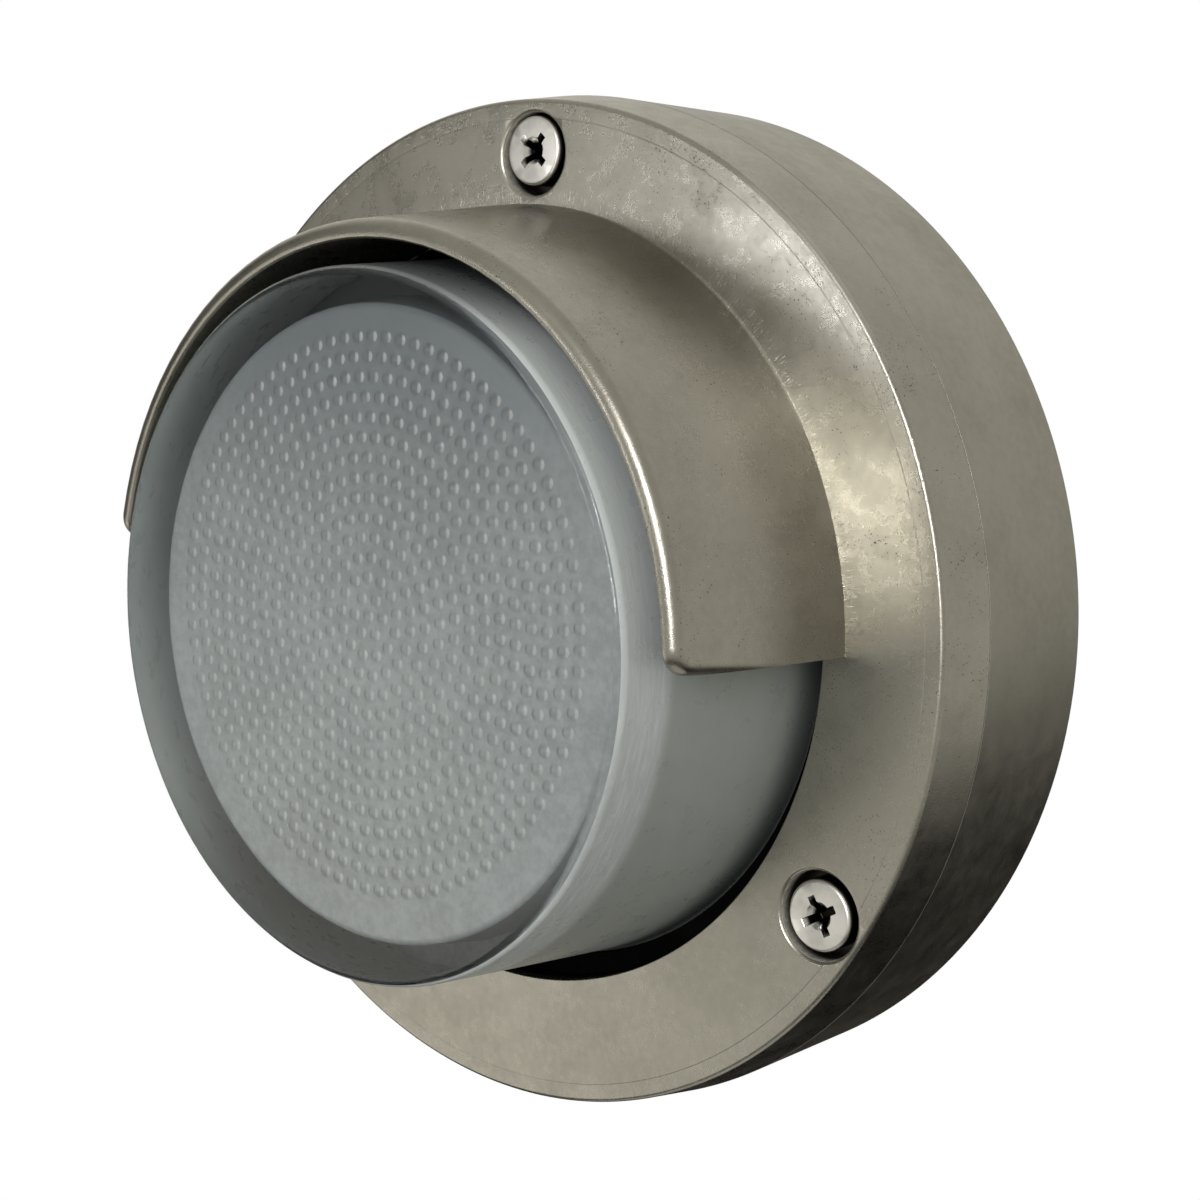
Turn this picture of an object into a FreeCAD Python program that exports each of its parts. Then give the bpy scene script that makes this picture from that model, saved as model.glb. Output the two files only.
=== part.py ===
import FreeCAD, Part
import math
import os
import re
import Sketcher

# A surface-mounted step light: a round cast box on the wall, a cast face ring with an eyebrow hood,
# and a pressed-glass cup that looks out through the ring. The origin is the middle of the back of the
# box, on the wall. +Z is up and the light faces -Y, so a distance forward from the wall is -Y.

SIZES = [
    # name, value in mm (or degrees where the note says so), note
    ("body_depth", 28.7, "wall to the face of the ring"),
    ("face_diameter", 127.0, "outer edge of the ring's face"),
    ("skirt_flare", 1.2, "how far the skirt widens from the face to the seam, on the radius"),
    ("skirt_depth", 8.0, "face of the ring to the seam"),
    ("skirt_wall", 3.0, "wall of the skirt at the seam"),
    ("plate_thickness", 4.0, "thickness of the ring's face plate"),
    ("face_edge_round", 0.8, "rounding of the face's outer edge"),
    ("joint_gap", 0.1, "seam between the face and the box"),
    ("seal_gap", 0.05, "gap between the box gasket and the face"),
    ("casting_bite", 1.0, "how far a boss or the hood runs into the wall that it grows from"),
    ("hood_projection", 26.3, "face of the ring to the front of the hood"),
    ("hood_root_wall", 2.9, "thickness of the hood where it meets the ring"),
    ("hood_taper", 3.15, "how far the outside draws in from the ring to the rim, on the radius"),
    ("hood_rim_wall", 2.3, "thickness of the hood at its rim"),
    ("hood_sweep", 171.5, "arc of the hood, degrees"),
    ("hood_turn", 2.25, "turn of the hood's middle towards +X from the top screw, degrees"),
    ("hood_corner", 3.0, "radius of the hood's two front corners"),
    ("hood_step", 0.1, "set-back of the hood's inside from the bore, on the radius"),
    ("hood_outer_round", 1.3, "rounding of the outer free edge of the hood"),
    ("hood_inner_round", 0.5, "rounding of the inner free edge of the hood"),
    ("box_wall", 4.0, "side wall of the box"),
    ("box_floor", 3.0, "back wall of the box"),
    ("box_back_bevel", 0.5, "bevel round the back of the box"),
    ("box_boss_radius", 4.9, "bosses that take the face screws"),
    ("box_gasket_inset", 1.0, "outside of the box to the gasket's groove"),
    ("box_gasket_width", 1.4, "width of that groove"),
    ("box_gasket_depth", 1.3, "depth of that groove"),
    ("rubber_fit", 0.05, "clearance each side of a rubber ring in its groove"),
    ("wall_gasket_inset", 2.4, "outside of the box to the wall gasket"),
    ("wall_gasket_width", 6.1, "width of the wall gasket"),
    ("wall_gasket_thickness", 1.5, "depth of its recess in the back of the box"),
    ("screw_edge", 6.2, "edge of the face to the axis of a face screw"),
    ("screw_to_bore", 9.45, "axis of a face screw to the bore of the ring"),
    ("screw_thread", 5.0, "thread of a face screw"),
    ("screw_length", 16.0, "face screw under its head"),
    ("screw_head", 8.5, "head of a face screw"),
    ("screw_head_height", 3.3, "height of that head"),
    ("screw_sink", 0.1, "how far the head lies under the face"),
    ("screw_recess", 10.9, "counterbore round the head"),
    ("screw_play", 0.3, "clearance of the face's hole round the thread, on the radius"),
    ("thread_fit", 0.06, "clearance of a thread in its tapped hole, on the radius"),
    ("tapped_extra", 1.5, "tapped hole beyond the end of its screw"),
    ("face_boss_radius", 6.4, "bosses behind the face for the face screws"),
    ("cross_span", 4.9, "cross recess from tip to tip"),
    ("cross_width", 0.9, "width of one arm of the cross"),
    ("cross_depth", 2.4, "depth of the cross recess"),
    ("top_cross_angle", 45.0, "turn of the cross in the top screw, degrees"),
    ("right_cross_angle", 14.0, "turn of the cross in the right screw, degrees"),
    ("left_cross_angle", 30.0, "turn of the cross in the left screw, degrees"),
    ("lens_projection", 28.8, "face of the ring to the front of the glass"),
    ("lens_gap", 2.95, "bore of the ring to the root of the glass, on the radius"),
    ("lens_taper", 3.15, "how far the glass draws in from its root to its front, on the radius"),
    ("lens_corner", 2.5, "rounding of the front corner of the glass"),
    ("lens_wall_front", 3.6, "side wall of the glass at the front of its hollow"),
    ("lens_wall_back", 4.4, "side wall of the glass at its mouth"),
    ("lens_front_thickness", 8.0, "thickness of the front of the glass"),
    ("lens_hollow_round", 1.5, "rounding round the bottom of the hollow"),
    ("flange_lap", 2.55, "how far the flange of the glass reaches behind the plate, on the radius"),
    ("flange_thickness", 4.0, "thickness of that flange"),
    ("gasket_thickness", 1.0, "rubber channel round the flange"),
    ("gasket_lip_gap", 0.3, "rubber lip to the root of the glass, on the radius"),
    ("recess_fit", 0.1, "rubber channel to the recess behind the plate, on the radius"),
    ("clamp_thickness", 1.2, "clamp ring"),
    ("clamp_lap", 4.0, "width of the clamp ring over the glass's flange"),
    ("clamp_ear_radius", 3.5, "ears of the clamp ring"),
    ("clamp_boss_radius", 3.6, "bosses under those ears"),
    ("clamp_screw_gap", 5.1, "outside of the rubber channel to the axis of a clamp screw"),
    ("clamp_screw_length", 6.0, "clamp screw under its head"),
    ("small_thread", 3.0, "thread of the small screws"),
    ("small_head", 5.6, "head of the small screws"),
    ("small_head_height", 2.2, "height of that head"),
    ("small_hole", 3.4, "clearance hole for a small screw"),
    ("small_screw_length", 4.0, "bracket screw under its head"),
    ("slot_width", 0.9, "driver slot of the small screws"),
    ("slot_depth", 1.0, "depth of that slot"),
    ("fixing_spacing", 88.9, "between the two holes for the wall screws"),
    ("fixing_hole", 5.2, "hole for a wall screw"),
    ("fixing_pad_radius", 6.0, "raised pad round that hole"),
    ("fixing_pad_height", 1.0, "height of that pad"),
    ("entry_edge", 17.7, "lower edge of the box up to the cable entry"),
    ("entry_hole", 12.0, "hole in the box for the grommet"),
    ("entry_bore", 7.0, "bore of the grommet, for the supply cable"),
    ("entry_flange", 16.0, "flanges of the grommet"),
    ("entry_flange_thickness", 1.5, "thickness of a flange"),
    ("bracket_height", 12.7, "floor of the box to the front of the bracket"),
    ("bracket_width", 14.0, "width of the bracket's strip"),
    ("bracket_thickness", 1.0, "sheet of the bracket"),
    ("bracket_span", 32.0, "across the bracket's legs"),
    ("bracket_foot", 14.0, "length of a foot"),
    ("bracket_boss_height", 1.5, "bosses under the feet"),
    ("bracket_boss_radius", 4.0, "radius of those bosses"),
    ("reflector_thickness", 0.8, "spun sheet of the reflector"),
    ("reflector_gap", 2.45, "rim of the reflector to the mouth of the glass, on the radius"),
    ("reflector_slope", 15.0, "sloping part of the reflector, on the radius"),
    ("reflector_dish", 5.0, "depth of the reflector"),
    ("holder_length", 23.0, "lamp holder along X"),
    ("holder_width", 12.0, "lamp holder along Z"),
    ("holder_depth", 8.0, "lamp holder behind the bracket"),
    ("turret_radius", 4.8, "nose of the holder, through bracket and reflector"),
    ("turret_fit", 0.2, "clearance round that nose, on the radius"),
    ("holder_screw_spacing", 16.0, "between the two holder screws"),
    ("holder_thread", 2.5, "thread of the holder screws"),
    ("holder_head", 4.4, "head of the holder screws"),
    ("holder_head_height", 1.6, "height of that head"),
    ("holder_screw_hole", 2.8, "clearance hole for a holder screw"),
    ("holder_screw_end", 0.4, "holder screw beyond its nut"),
    ("nut_flats", 5.0, "across the flats of the holder nuts"),
    ("nut_thickness", 2.0, "thickness of those nuts"),
    ("pin_spacing", 4.0, "between the two pins of the lamp"),
    ("pin_radius", 0.35, "pin of the lamp"),
    ("pin_length", 7.0, "pin outside the lamp"),
    ("pin_inside", 8.5, "pin inside the lamp"),
    ("pin_fit", 0.07, "pin to its contact, on the radius"),
    ("contact_wall", 0.5, "wall of a contact"),
    ("contact_fit", 0.03, "contact to the holder's bore, on the radius"),
    ("contact_length", 6.5, "length of a contact"),
    ("contact_sink", 0.6, "front of a contact under the holder's nose"),
    ("lamp_seat_gap", 0.3, "lamp to the holder's nose"),
    ("pinch_length", 6.5, "flat seal of the lamp"),
    ("pinch_width", 8.4, "width of that seal"),
    ("pinch_thickness", 3.2, "thickness of that seal"),
    ("bulb_diameter", 9.5, "lamp capsule"),
    ("bulb_length", 17.5, "capsule in front of the seal"),
    ("bulb_wall", 0.9, "wall of the capsule"),
    ("bulb_tip_round", 4.2, "rounding of the capsule's tip"),
    ("filament_radius", 0.55, "filament coil"),
    ("filament_height", 3.0, "coil in front of the inner ends of the pins"),
    ("filament_leg_radius", 0.15, "legs of the filament"),
    ("block_to_entry", 16.0, "cable entry up to the middle of the terminal block"),
    ("block_width", 18.0, "terminal block along X"),
    ("block_length", 14.0, "terminal block along Z"),
    ("block_depth", 10.0, "terminal block off its pad"),
    ("block_pad_height", 1.5, "pad under the block"),
    ("block_pole_spacing", 10.0, "between the two poles"),
    ("block_axis_height", 5.0, "pad to the axis of a barrel"),
    ("block_screw_sink", 2.3, "head of the block's screw under its front"),
    ("barrel_radius", 2.4, "terminal barrel"),
    ("barrel_bore", 1.4, "bore of a barrel"),
    ("barrel_length", 12.6, "length of a barrel"),
    ("barrel_fit", 0.05, "barrel to the block, on the radius"),
    ("clamping_pitch", 6.4, "between the two screws of one pole"),
    ("clamping_radius", 1.2, "terminal screw"),
    ("clamping_length", 2.8, "length of a terminal screw"),
    ("clamping_hole", 1.6, "hole for the driver over a terminal screw"),
    ("lead_radius", 1.0, "insulated lead"),
    ("lead_fit", 0.1, "lead to the hole it goes into, on the radius"),
    ("lead_spacing", 6.0, "between the leads at the lamp holder"),
    ("lead_socket_depth", 3.5, "lead inside the lamp holder"),
    ("lead_grip", 5.2, "lead inside the terminal block"),
    ("lead_straight", 3.5, "straight of a lead outside the holder and the block"),
]

doc = FreeCAD.newDocument("step_light")
dims = doc.addObject("Spreadsheet::Sheet", "Dims")
for row, (name, size, note) in enumerate(SIZES, start=1):
    dims.set(f"A{row}", name)
    dims.set(f"B{row}", str(size))
    dims.set(f"C{row}", note)
    dims.setAlias(f"B{row}", name)
doc.recompute()
SIZE_NAMES = {name for name, size, note in SIZES}

# Places that several pieces share, as distances forward from the wall and radii from the axis.
ring_face = "body_depth"
seam = "(body_depth - skirt_depth)"
box_rim = f"({seam} - joint_gap)"
plate_back = "(body_depth - plate_thickness)"
flange_front = f"({plate_back} - gasket_thickness)"
flange_back = f"({flange_front} - flange_thickness)"
clamp_front = f"({flange_back} - gasket_thickness)"
clamp_back = f"({clamp_front} - clamp_thickness)"
lens_front = "(body_depth + lens_projection)"
lens_hollow = f"({lens_front} - lens_front_thickness)"
hood_front = "(body_depth + hood_projection)"
head_top = "(body_depth - screw_sink)"
head_seat = f"({head_top} - screw_head_height)"
screw_tip = f"({head_seat} - screw_length)"
bracket_front = "(box_floor + bracket_height)"
bracket_back = f"({bracket_front} - bracket_thickness)"
bracket_base = "(box_floor + bracket_boss_height)"
reflector_front = f"({bracket_front} + reflector_thickness)"
holder_back = f"({bracket_back} - holder_depth)"
lamp_seat = f"({reflector_front} + lamp_seat_gap)"
pinch_front = f"({lamp_seat} + pinch_length)"
pin_top = f"({lamp_seat} + pin_inside)"
bulb_front = f"({pinch_front} + bulb_length)"
block_back = "(box_floor + block_pad_height)"
block_front = f"({block_back} + block_depth)"
lead_plane = f"({block_back} + block_axis_height)"

face_radius = "(face_diameter / 2)"
body_radius = "(face_diameter / 2 + skirt_flare)"
screw_radius = f"({face_radius} - screw_edge)"
opening_radius = f"({screw_radius} - screw_to_bore)"
root_radius = f"({opening_radius} - lens_gap)"
front_radius = f"({root_radius} - lens_taper)"
hollow_radius = f"({front_radius} - lens_wall_front)"
mouth_radius = f"({root_radius} - lens_wall_back)"
flange_radius = f"({opening_radius} + flange_lap)"
gasket_radius = f"({flange_radius} + gasket_thickness)"
clamp_inner = f"({flange_radius} - clamp_lap)"
clamp_screw_radius = f"({gasket_radius} + clamp_screw_gap)"
reflector_rim = f"({mouth_radius} - reflector_gap)"
reflector_floor = f"({reflector_rim} - reflector_slope)"
entry_up = f"(entry_edge - {body_radius})"
block_up = f"({entry_up} + block_to_entry)"
hood_bore = f"({opening_radius} + hood_step)"
hood_root_radius = f"({hood_bore} + hood_root_wall)"
hood_rim_radius = f"({hood_root_radius} - hood_taper)"
half_pole = "(block_pole_spacing / 2)"

AXIAL_ANGLE = 360.0
SCREWS_ROUND = 3            # face screws, and clamp screws between them
EDGE_MATCH = 0.02           # mm, how near a point has to be to count as on an edge


def sized(text):
    """Name the sheet before each size in an expression."""
    return re.sub(r"[a-z_]+", lambda word: _in_sheet(word.group(0)), text)


def _in_sheet(word):
    return f"Dims.{word}" if word in SIZE_NAMES else word


def value(text):
    """Work out an expression of sizes now."""
    found = dims.evalExpression(sized(text))
    return float(getattr(found, "Value", found))


def bind(thing, prop, text):
    thing.setExpression(prop, sized(text))


def new_body(label):
    body = doc.addObject("PartDesign::Body", label)
    body.Label = label
    return body


def origin_feature(body, role):
    return [item for item in body.Origin.OriginFeatures if item.Role == role][0]


def new_sketch(body, name, plane, offset=None):
    """A sketch on one of the body's own planes. On XZ_Plane the offset is forward from the wall."""
    sketch = body.newObject("Sketcher::SketchObject", name)
    sketch.AttachmentSupport = [(origin_feature(body, plane), "")]
    sketch.MapMode = "FlatFace"
    if offset is not None:
        bind(sketch, "AttachmentOffset.Base.z", offset)
    return sketch


def pin_down(sketch, geometry, end, across, up):
    """Hold one point of a sketch at two expressions."""
    flat = sketch.addConstraint(Sketcher.Constraint("DistanceX", -1, 1, geometry, end, value(across)))
    bind(sketch, f"Constraints[{flat}]", across)
    tall = sketch.addConstraint(Sketcher.Constraint("DistanceY", -1, 1, geometry, end, value(up)))
    bind(sketch, f"Constraints[{tall}]", up)


def draw_outline(sketch, corners):
    """A closed outline of straight lines through corners given as pairs of expressions."""
    first = sketch.GeometryCount
    points = [FreeCAD.Vector(value(across), value(up), 0) for across, up in corners]
    count = len(points)
    for index in range(count):
        sketch.addGeometry(Part.LineSegment(points[index], points[(index + 1) % count]), False)
    for index in range(count):
        here = first + index
        after = first + (index + 1) % count
        sketch.addConstraint(Sketcher.Constraint("Coincident", here, 2, after, 1))
    for index, (across, up) in enumerate(corners):
        pin_down(sketch, first + index, 1, across, up)


def draw_circle(sketch, across, up, radius):
    centre = FreeCAD.Vector(value(across), value(up), 0)
    circle = sketch.addGeometry(Part.Circle(centre, FreeCAD.Vector(0, 0, 1), value(radius)), False)
    pin_down(sketch, circle, 3, across, up)
    size = sketch.addConstraint(Sketcher.Constraint("Radius", circle, value(radius)))
    bind(sketch, f"Constraints[{size}]", radius)


def draw_box(sketch, across, up, width, height):
    """A rectangle by its middle and its two sides."""
    left = f"{across} - ({width}) / 2"
    right = f"{across} + ({width}) / 2"
    low = f"{up} - ({height}) / 2"
    high = f"{up} + ({height}) / 2"
    draw_outline(sketch, [(left, low), (right, low), (right, high), (left, high)])


def turn(body, name, profile, kind="PartDesign::Revolution"):
    """Turn a profile of (radius, forward) corners round the light's axis."""
    sketch = new_sketch(body, name + "_profile", "XY_Plane")
    draw_outline(sketch, [(radius, f"-({forward})") for radius, forward in profile])
    feature = body.newObject(kind, name)
    feature.Profile = sketch
    feature.ReferenceAxis = (sketch, ["V_Axis"])
    feature.Angle = AXIAL_ANGLE
    doc.recompute()
    return feature


def raise_from(body, name, draw, base, height):
    """Pad what draw() sketches, forward from a distance off the wall."""
    sketch = new_sketch(body, name + "_sketch", "XZ_Plane", base)
    draw(sketch)
    pad = body.newObject("PartDesign::Pad", name)
    pad.Profile = sketch
    bind(pad, "Length", height)
    doc.recompute()
    return pad


def cut_back(body, name, draw, start, depth, forward=False):
    """Pocket what draw() sketches, towards the wall, or forward if asked."""
    sketch = new_sketch(body, name + "_sketch", "XZ_Plane", start)
    draw(sketch)
    before = body.Shape.Volume
    pocket = body.newObject("PartDesign::Pocket", name)
    pocket.Profile = sketch
    pocket.Reversed = forward
    bind(pocket, "Length", depth)
    doc.recompute()
    if not body.Shape.Volume < before:
        raise RuntimeError(f"{name} cuts nothing from {body.Label}")
    return pocket


def repeat_round(body, name, features):
    """Repeat features at equal steps round the light's axis."""
    pattern = body.newObject("PartDesign::PolarPattern", name)
    pattern.Originals = features
    pattern.Axis = (origin_feature(body, "Y_Axis"), [""])
    pattern.Angle = AXIAL_ANGLE
    pattern.Occurrences = SCREWS_ROUND
    body.Tip = pattern
    doc.recompute()
    return pattern


def edges_where(feature, test):
    """Names of the feature's edges whose every sampled point passes the test."""
    names = []
    for number, edge in enumerate(feature.Shape.Edges, start=1):
        if all(test(point) for point in edge.discretize(5)):
            names.append(f"Edge{number}")
    return names


def near(one, other):
    return abs(one - other) < EDGE_MATCH


def radius_of(point):
    return math.hypot(point.x, point.z)


def round_edges(body, name, feature, test, radius):
    """Fillet the feature's edges that pass the test."""
    found = edges_where(feature, test)
    if not found:
        raise RuntimeError(f"{name} finds no edge on {body.Label}")
    fillet = body.newObject("PartDesign::Fillet", name)
    fillet.Base = (feature, found)
    bind(fillet, "Radius", radius)
    doc.recompute()
    return fillet


def place(thing, across="0", forward="0", up="0"):
    """Put a piece at a place on the light, by expressions."""
    bind(thing, "Placement.Base.x", across)
    bind(thing, "Placement.Base.y", f"-({forward})")
    bind(thing, "Placement.Base.z", up)


def group(label, pieces):
    """Identical pieces that share one node."""
    compound = doc.addObject("Part::Compound", label)
    compound.Label = label
    compound.Links = pieces
    return compound


def seat_on_axis(sketch, radius):
    draw_circle(sketch, "0", "0", radius)


def make_back_box():
    box = new_body("back_box")
    inner = f"({body_radius} - box_wall)"
    turn(box, "pan", [
        ("0", "0"),
        (f"{body_radius} - box_back_bevel", "0"),
        (body_radius, "box_back_bevel"),
        (body_radius, box_rim),
        (inner, box_rim),
        (inner, "box_floor"),
        ("0", "box_floor"),
    ])
    boss = raise_from(box, "screw_boss", lambda s: draw_circle(s, "0", screw_radius, "box_boss_radius"),
                      "box_floor / 2", f"{box_rim} - box_floor / 2")
    repeat_round(box, "screw_bosses", [boss])
    hole = cut_back(box, "screw_hole",
                    lambda s: draw_circle(s, "0", screw_radius, "screw_thread / 2 + thread_fit"),
                    box_rim, f"{box_rim} - ({screw_tip} - tapped_extra)")
    repeat_round(box, "screw_holes", [hole])
    groove_outer = f"({body_radius} - box_gasket_inset)"
    groove_inner = f"({groove_outer} - box_gasket_width)"
    turn(box, "gasket_groove", [
        (groove_inner, f"{box_rim} - box_gasket_depth"),
        (groove_outer, f"{box_rim} - box_gasket_depth"),
        (groove_outer, f"{box_rim} + box_gasket_depth"),
        (groove_inner, f"{box_rim} + box_gasket_depth"),
    ], "PartDesign::Groove")
    recess_outer = f"({body_radius} - wall_gasket_inset)"
    recess_inner = f"({recess_outer} - wall_gasket_width)"
    turn(box, "wall_gasket_recess", [
        (recess_inner, "-wall_gasket_thickness"),
        (recess_outer, "-wall_gasket_thickness"),
        (recess_outer, "wall_gasket_thickness"),
        (recess_inner, "wall_gasket_thickness"),
    ], "PartDesign::Groove")

    def draw_fixings(sketch, radius):
        draw_circle(sketch, "-fixing_spacing / 2", "0", radius)
        draw_circle(sketch, "fixing_spacing / 2", "0", radius)

    def draw_feet(sketch, radius):
        reach = "(bracket_span / 2 + bracket_foot / 2)"
        draw_circle(sketch, f"-{reach}", "0", radius)
        draw_circle(sketch, reach, "0", radius)

    raise_from(box, "fixing_pads", lambda s: draw_fixings(s, "fixing_pad_radius"),
               "box_floor / 2", "box_floor / 2 + fixing_pad_height")
    cut_back(box, "fixing_holes", lambda s: draw_fixings(s, "fixing_hole / 2"),
             "box_floor + fixing_pad_height", "box_floor + fixing_pad_height")
    raise_from(box, "bracket_bosses", lambda s: draw_feet(s, "bracket_boss_radius"),
               "box_floor / 2", f"{bracket_base} - box_floor / 2")
    cut_back(box, "bracket_taps", lambda s: draw_feet(s, "small_thread / 2 + thread_fit"),
             bracket_base, "small_screw_length - bracket_thickness + joint_gap")
    raise_from(box, "block_pad", lambda s: draw_box(s, "0", block_up, "block_width", "block_length"),
               "box_floor / 2", f"{block_back} - box_floor / 2")
    cut_back(box, "block_tap", lambda s: draw_circle(s, "0", block_up, "small_thread / 2 + thread_fit"),
             block_back, "block_pad_height + box_floor / 3")
    cut_back(box, "entry_hole", lambda s: draw_circle(s, "0", entry_up, "entry_hole / 2"),
             "box_floor", "box_floor")
    cut_back(box, "entry_recess",
             lambda s: draw_circle(s, "0", entry_up, "entry_flange / 2 + rubber_fit"),
             "entry_flange_thickness", "entry_flange_thickness")
    return box


def make_wall_gasket():
    gasket = new_body("wall_gasket")
    outer = f"({body_radius} - wall_gasket_inset - rubber_fit)"
    inner = f"({outer} - wall_gasket_width + 2 * rubber_fit)"
    turn(gasket, "ring", [
        (inner, "0"),
        (outer, "0"),
        (outer, "wall_gasket_thickness"),
        (inner, "wall_gasket_thickness"),
    ])
    return gasket


def make_box_gasket():
    gasket = new_body("box_gasket")
    outer = f"({body_radius} - box_gasket_inset - rubber_fit)"
    inner = f"({outer} - box_gasket_width + 2 * rubber_fit)"
    turn(gasket, "ring", [
        (inner, f"{box_rim} - box_gasket_depth"),
        (outer, f"{box_rim} - box_gasket_depth"),
        (outer, f"{seam} - seal_gap"),
        (inner, f"{seam} - seal_gap"),
    ])
    return gasket


def make_entry_grommet():
    grommet = new_body("entry_grommet")
    neck = "(entry_hole / 2 - rubber_fit)"
    turn(grommet, "ring", [
        ("entry_bore / 2", "rubber_fit"),
        ("entry_flange / 2", "rubber_fit"),
        ("entry_flange / 2", "entry_flange_thickness"),
        (neck, "entry_flange_thickness"),
        (neck, "box_floor"),
        ("entry_flange / 2", "box_floor"),
        ("entry_flange / 2", "box_floor + entry_flange_thickness"),
        ("entry_bore / 2", "box_floor + entry_flange_thickness"),
    ])
    place(grommet, up=entry_up)
    return grommet


def make_hooded_face():
    face = new_body("hooded_face")
    inner = f"({body_radius} - skirt_wall)"
    plate = turn(face, "plate", [
        (opening_radius, ring_face),
        (face_radius, ring_face),
        (body_radius, seam),
        (inner, seam),
        (inner, plate_back),
        (opening_radius, plate_back),
    ])
    edge_depth = -value(ring_face)
    edge_radius = value(face_radius)
    round_edges(face, "face_edge", plate,
                lambda p: near(p.y, edge_depth) and near(radius_of(p), edge_radius), "face_edge_round")

    boss = raise_from(face, "screw_boss", lambda s: draw_circle(s, "0", screw_radius, "face_boss_radius"),
                      seam, f"{plate_back} - {seam} + casting_bite")
    clamp_boss = raise_from(face, "clamp_boss",
                            lambda s: draw_circle(s, "0", f"-{clamp_screw_radius}", "clamp_boss_radius"),
                            clamp_front, f"{plate_back} - {clamp_front} + casting_bite")
    repeat_round(face, "bosses", [boss, clamp_boss])
    recess = f"({gasket_radius} + recess_fit)"
    turn(face, "lens_recess", [
        ("0", f"{seam} - casting_bite"),
        (recess, f"{seam} - casting_bite"),
        (recess, plate_back),
        ("0", plate_back),
    ], "PartDesign::Groove")
    counterbore = cut_back(face, "counterbore",
                           lambda s: draw_circle(s, "0", screw_radius, "screw_recess / 2"),
                           ring_face, "screw_sink + screw_head_height")
    hole = cut_back(face, "screw_hole",
                    lambda s: draw_circle(s, "0", screw_radius, "screw_thread / 2 + screw_play"),
                    ring_face, "skirt_depth")
    tap = cut_back(face, "clamp_tap",
                   lambda s: draw_circle(s, "0", f"-{clamp_screw_radius}", "small_thread / 2 + thread_fit"),
                   clamp_front, "clamp_screw_length - clamp_thickness + joint_gap", forward=True)
    repeat_round(face, "holes", [counterbore, hole, tap])
    add_hood(face)
    return face


def add_hood(face):
    """The eyebrow over the glass, which grows out of the ring round its bore."""
    sketch = new_sketch(face, "hood_section", "YZ_Plane")
    root = f"({ring_face} - casting_bite)"
    draw_outline(sketch, [
        (f"-{root}", hood_bore),
        (f"-{ring_face}", hood_bore),
        (f"-{hood_front}", f"{hood_rim_radius} - hood_rim_wall"),
        (f"-{hood_front}", hood_rim_radius),
        (f"-{ring_face}", hood_root_radius),
        (f"-{root}", hood_root_radius),
    ])
    sketch.AttachmentOffset = FreeCAD.Placement(FreeCAD.Vector(), FreeCAD.Rotation(FreeCAD.Vector(1, 0, 0), 1))
    bind(sketch, "AttachmentOffset.Rotation.Angle", "hood_turn")
    hood = face.newObject("PartDesign::Revolution", "hood")
    hood.Profile = sketch
    hood.ReferenceAxis = (sketch, ["H_Axis"])
    hood.Midplane = True
    bind(hood, "Angle", "hood_sweep")
    doc.recompute()

    rim = -value(hood_front)
    outer = value(hood_rim_radius)
    half = value("hood_sweep") / 2

    def at_the_end(point):
        turned = math.degrees(math.atan2(point.x, point.z)) - value("hood_turn")
        return near(abs(turned), half)

    corners = round_edges(face, "hood_corners", hood,
                          lambda p: near(p.y, rim) and at_the_end(p), "hood_corner")
    outside = round_edges(face, "hood_outer_edge", corners,
                          lambda p: near(p.y, rim) and near(radius_of(p), outer), "hood_outer_round")
    inner = outer - value("hood_rim_wall")
    round_edges(face, "hood_inner_edge", outside,
                lambda p: near(p.y, rim) and near(radius_of(p), inner), "hood_inner_round")


def make_lens():
    lens = new_body("lens")
    cup = turn(lens, "cup", [
        ("0", lens_front),
        (front_radius, lens_front),
        (root_radius, flange_front),
        (flange_radius, flange_front),
        (flange_radius, flange_back),
        (mouth_radius, flange_back),
        (hollow_radius, lens_hollow),
        ("0", lens_hollow),
    ])
    front = -value(lens_front)
    hollow = -value(lens_hollow)
    front_edge = value(front_radius)
    hollow_edge = value(hollow_radius)
    corner = round_edges(lens, "front_corner", cup,
                         lambda p: near(p.y, front) and near(radius_of(p), front_edge), "lens_corner")
    round_edges(lens, "hollow_corner", corner,
                lambda p: near(p.y, hollow) and near(radius_of(p), hollow_edge), "lens_hollow_round")
    return lens


def make_lens_gasket():
    gasket = new_body("lens_gasket")
    lip = f"({root_radius} + gasket_lip_gap)"
    turn(gasket, "channel", [
        (lip, plate_back),
        (gasket_radius, plate_back),
        (gasket_radius, clamp_front),
        (clamp_inner, clamp_front),
        (clamp_inner, flange_back),
        (flange_radius, flange_back),
        (flange_radius, flange_front),
        (lip, flange_front),
    ])
    return gasket


def make_clamp_ring():
    ring = new_body("clamp_ring")
    outer = f"({gasket_radius} - recess_fit)"
    turn(ring, "band", [
        (clamp_inner, clamp_back),
        (outer, clamp_back),
        (outer, clamp_front),
        (clamp_inner, clamp_front),
    ])
    reach = f"({clamp_screw_radius} - {outer} + clamp_thickness)"
    ear = raise_from(ring, "ear", lambda s: draw_circle(s, "0", f"-{clamp_screw_radius}", "clamp_ear_radius"),
                     clamp_back, "clamp_thickness")
    neck = raise_from(ring, "neck",
                      lambda s: draw_box(s, "0", f"-{clamp_screw_radius} + {reach} / 2",
                                         "2 * clamp_ear_radius", reach),
                      clamp_back, "clamp_thickness")
    hole = cut_back(ring, "ear_hole", lambda s: draw_circle(s, "0", f"-{clamp_screw_radius}", "small_hole / 2"),
                    clamp_front, "clamp_thickness")
    repeat_round(ring, "ears", [ear, neck, hole])
    return ring


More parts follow.
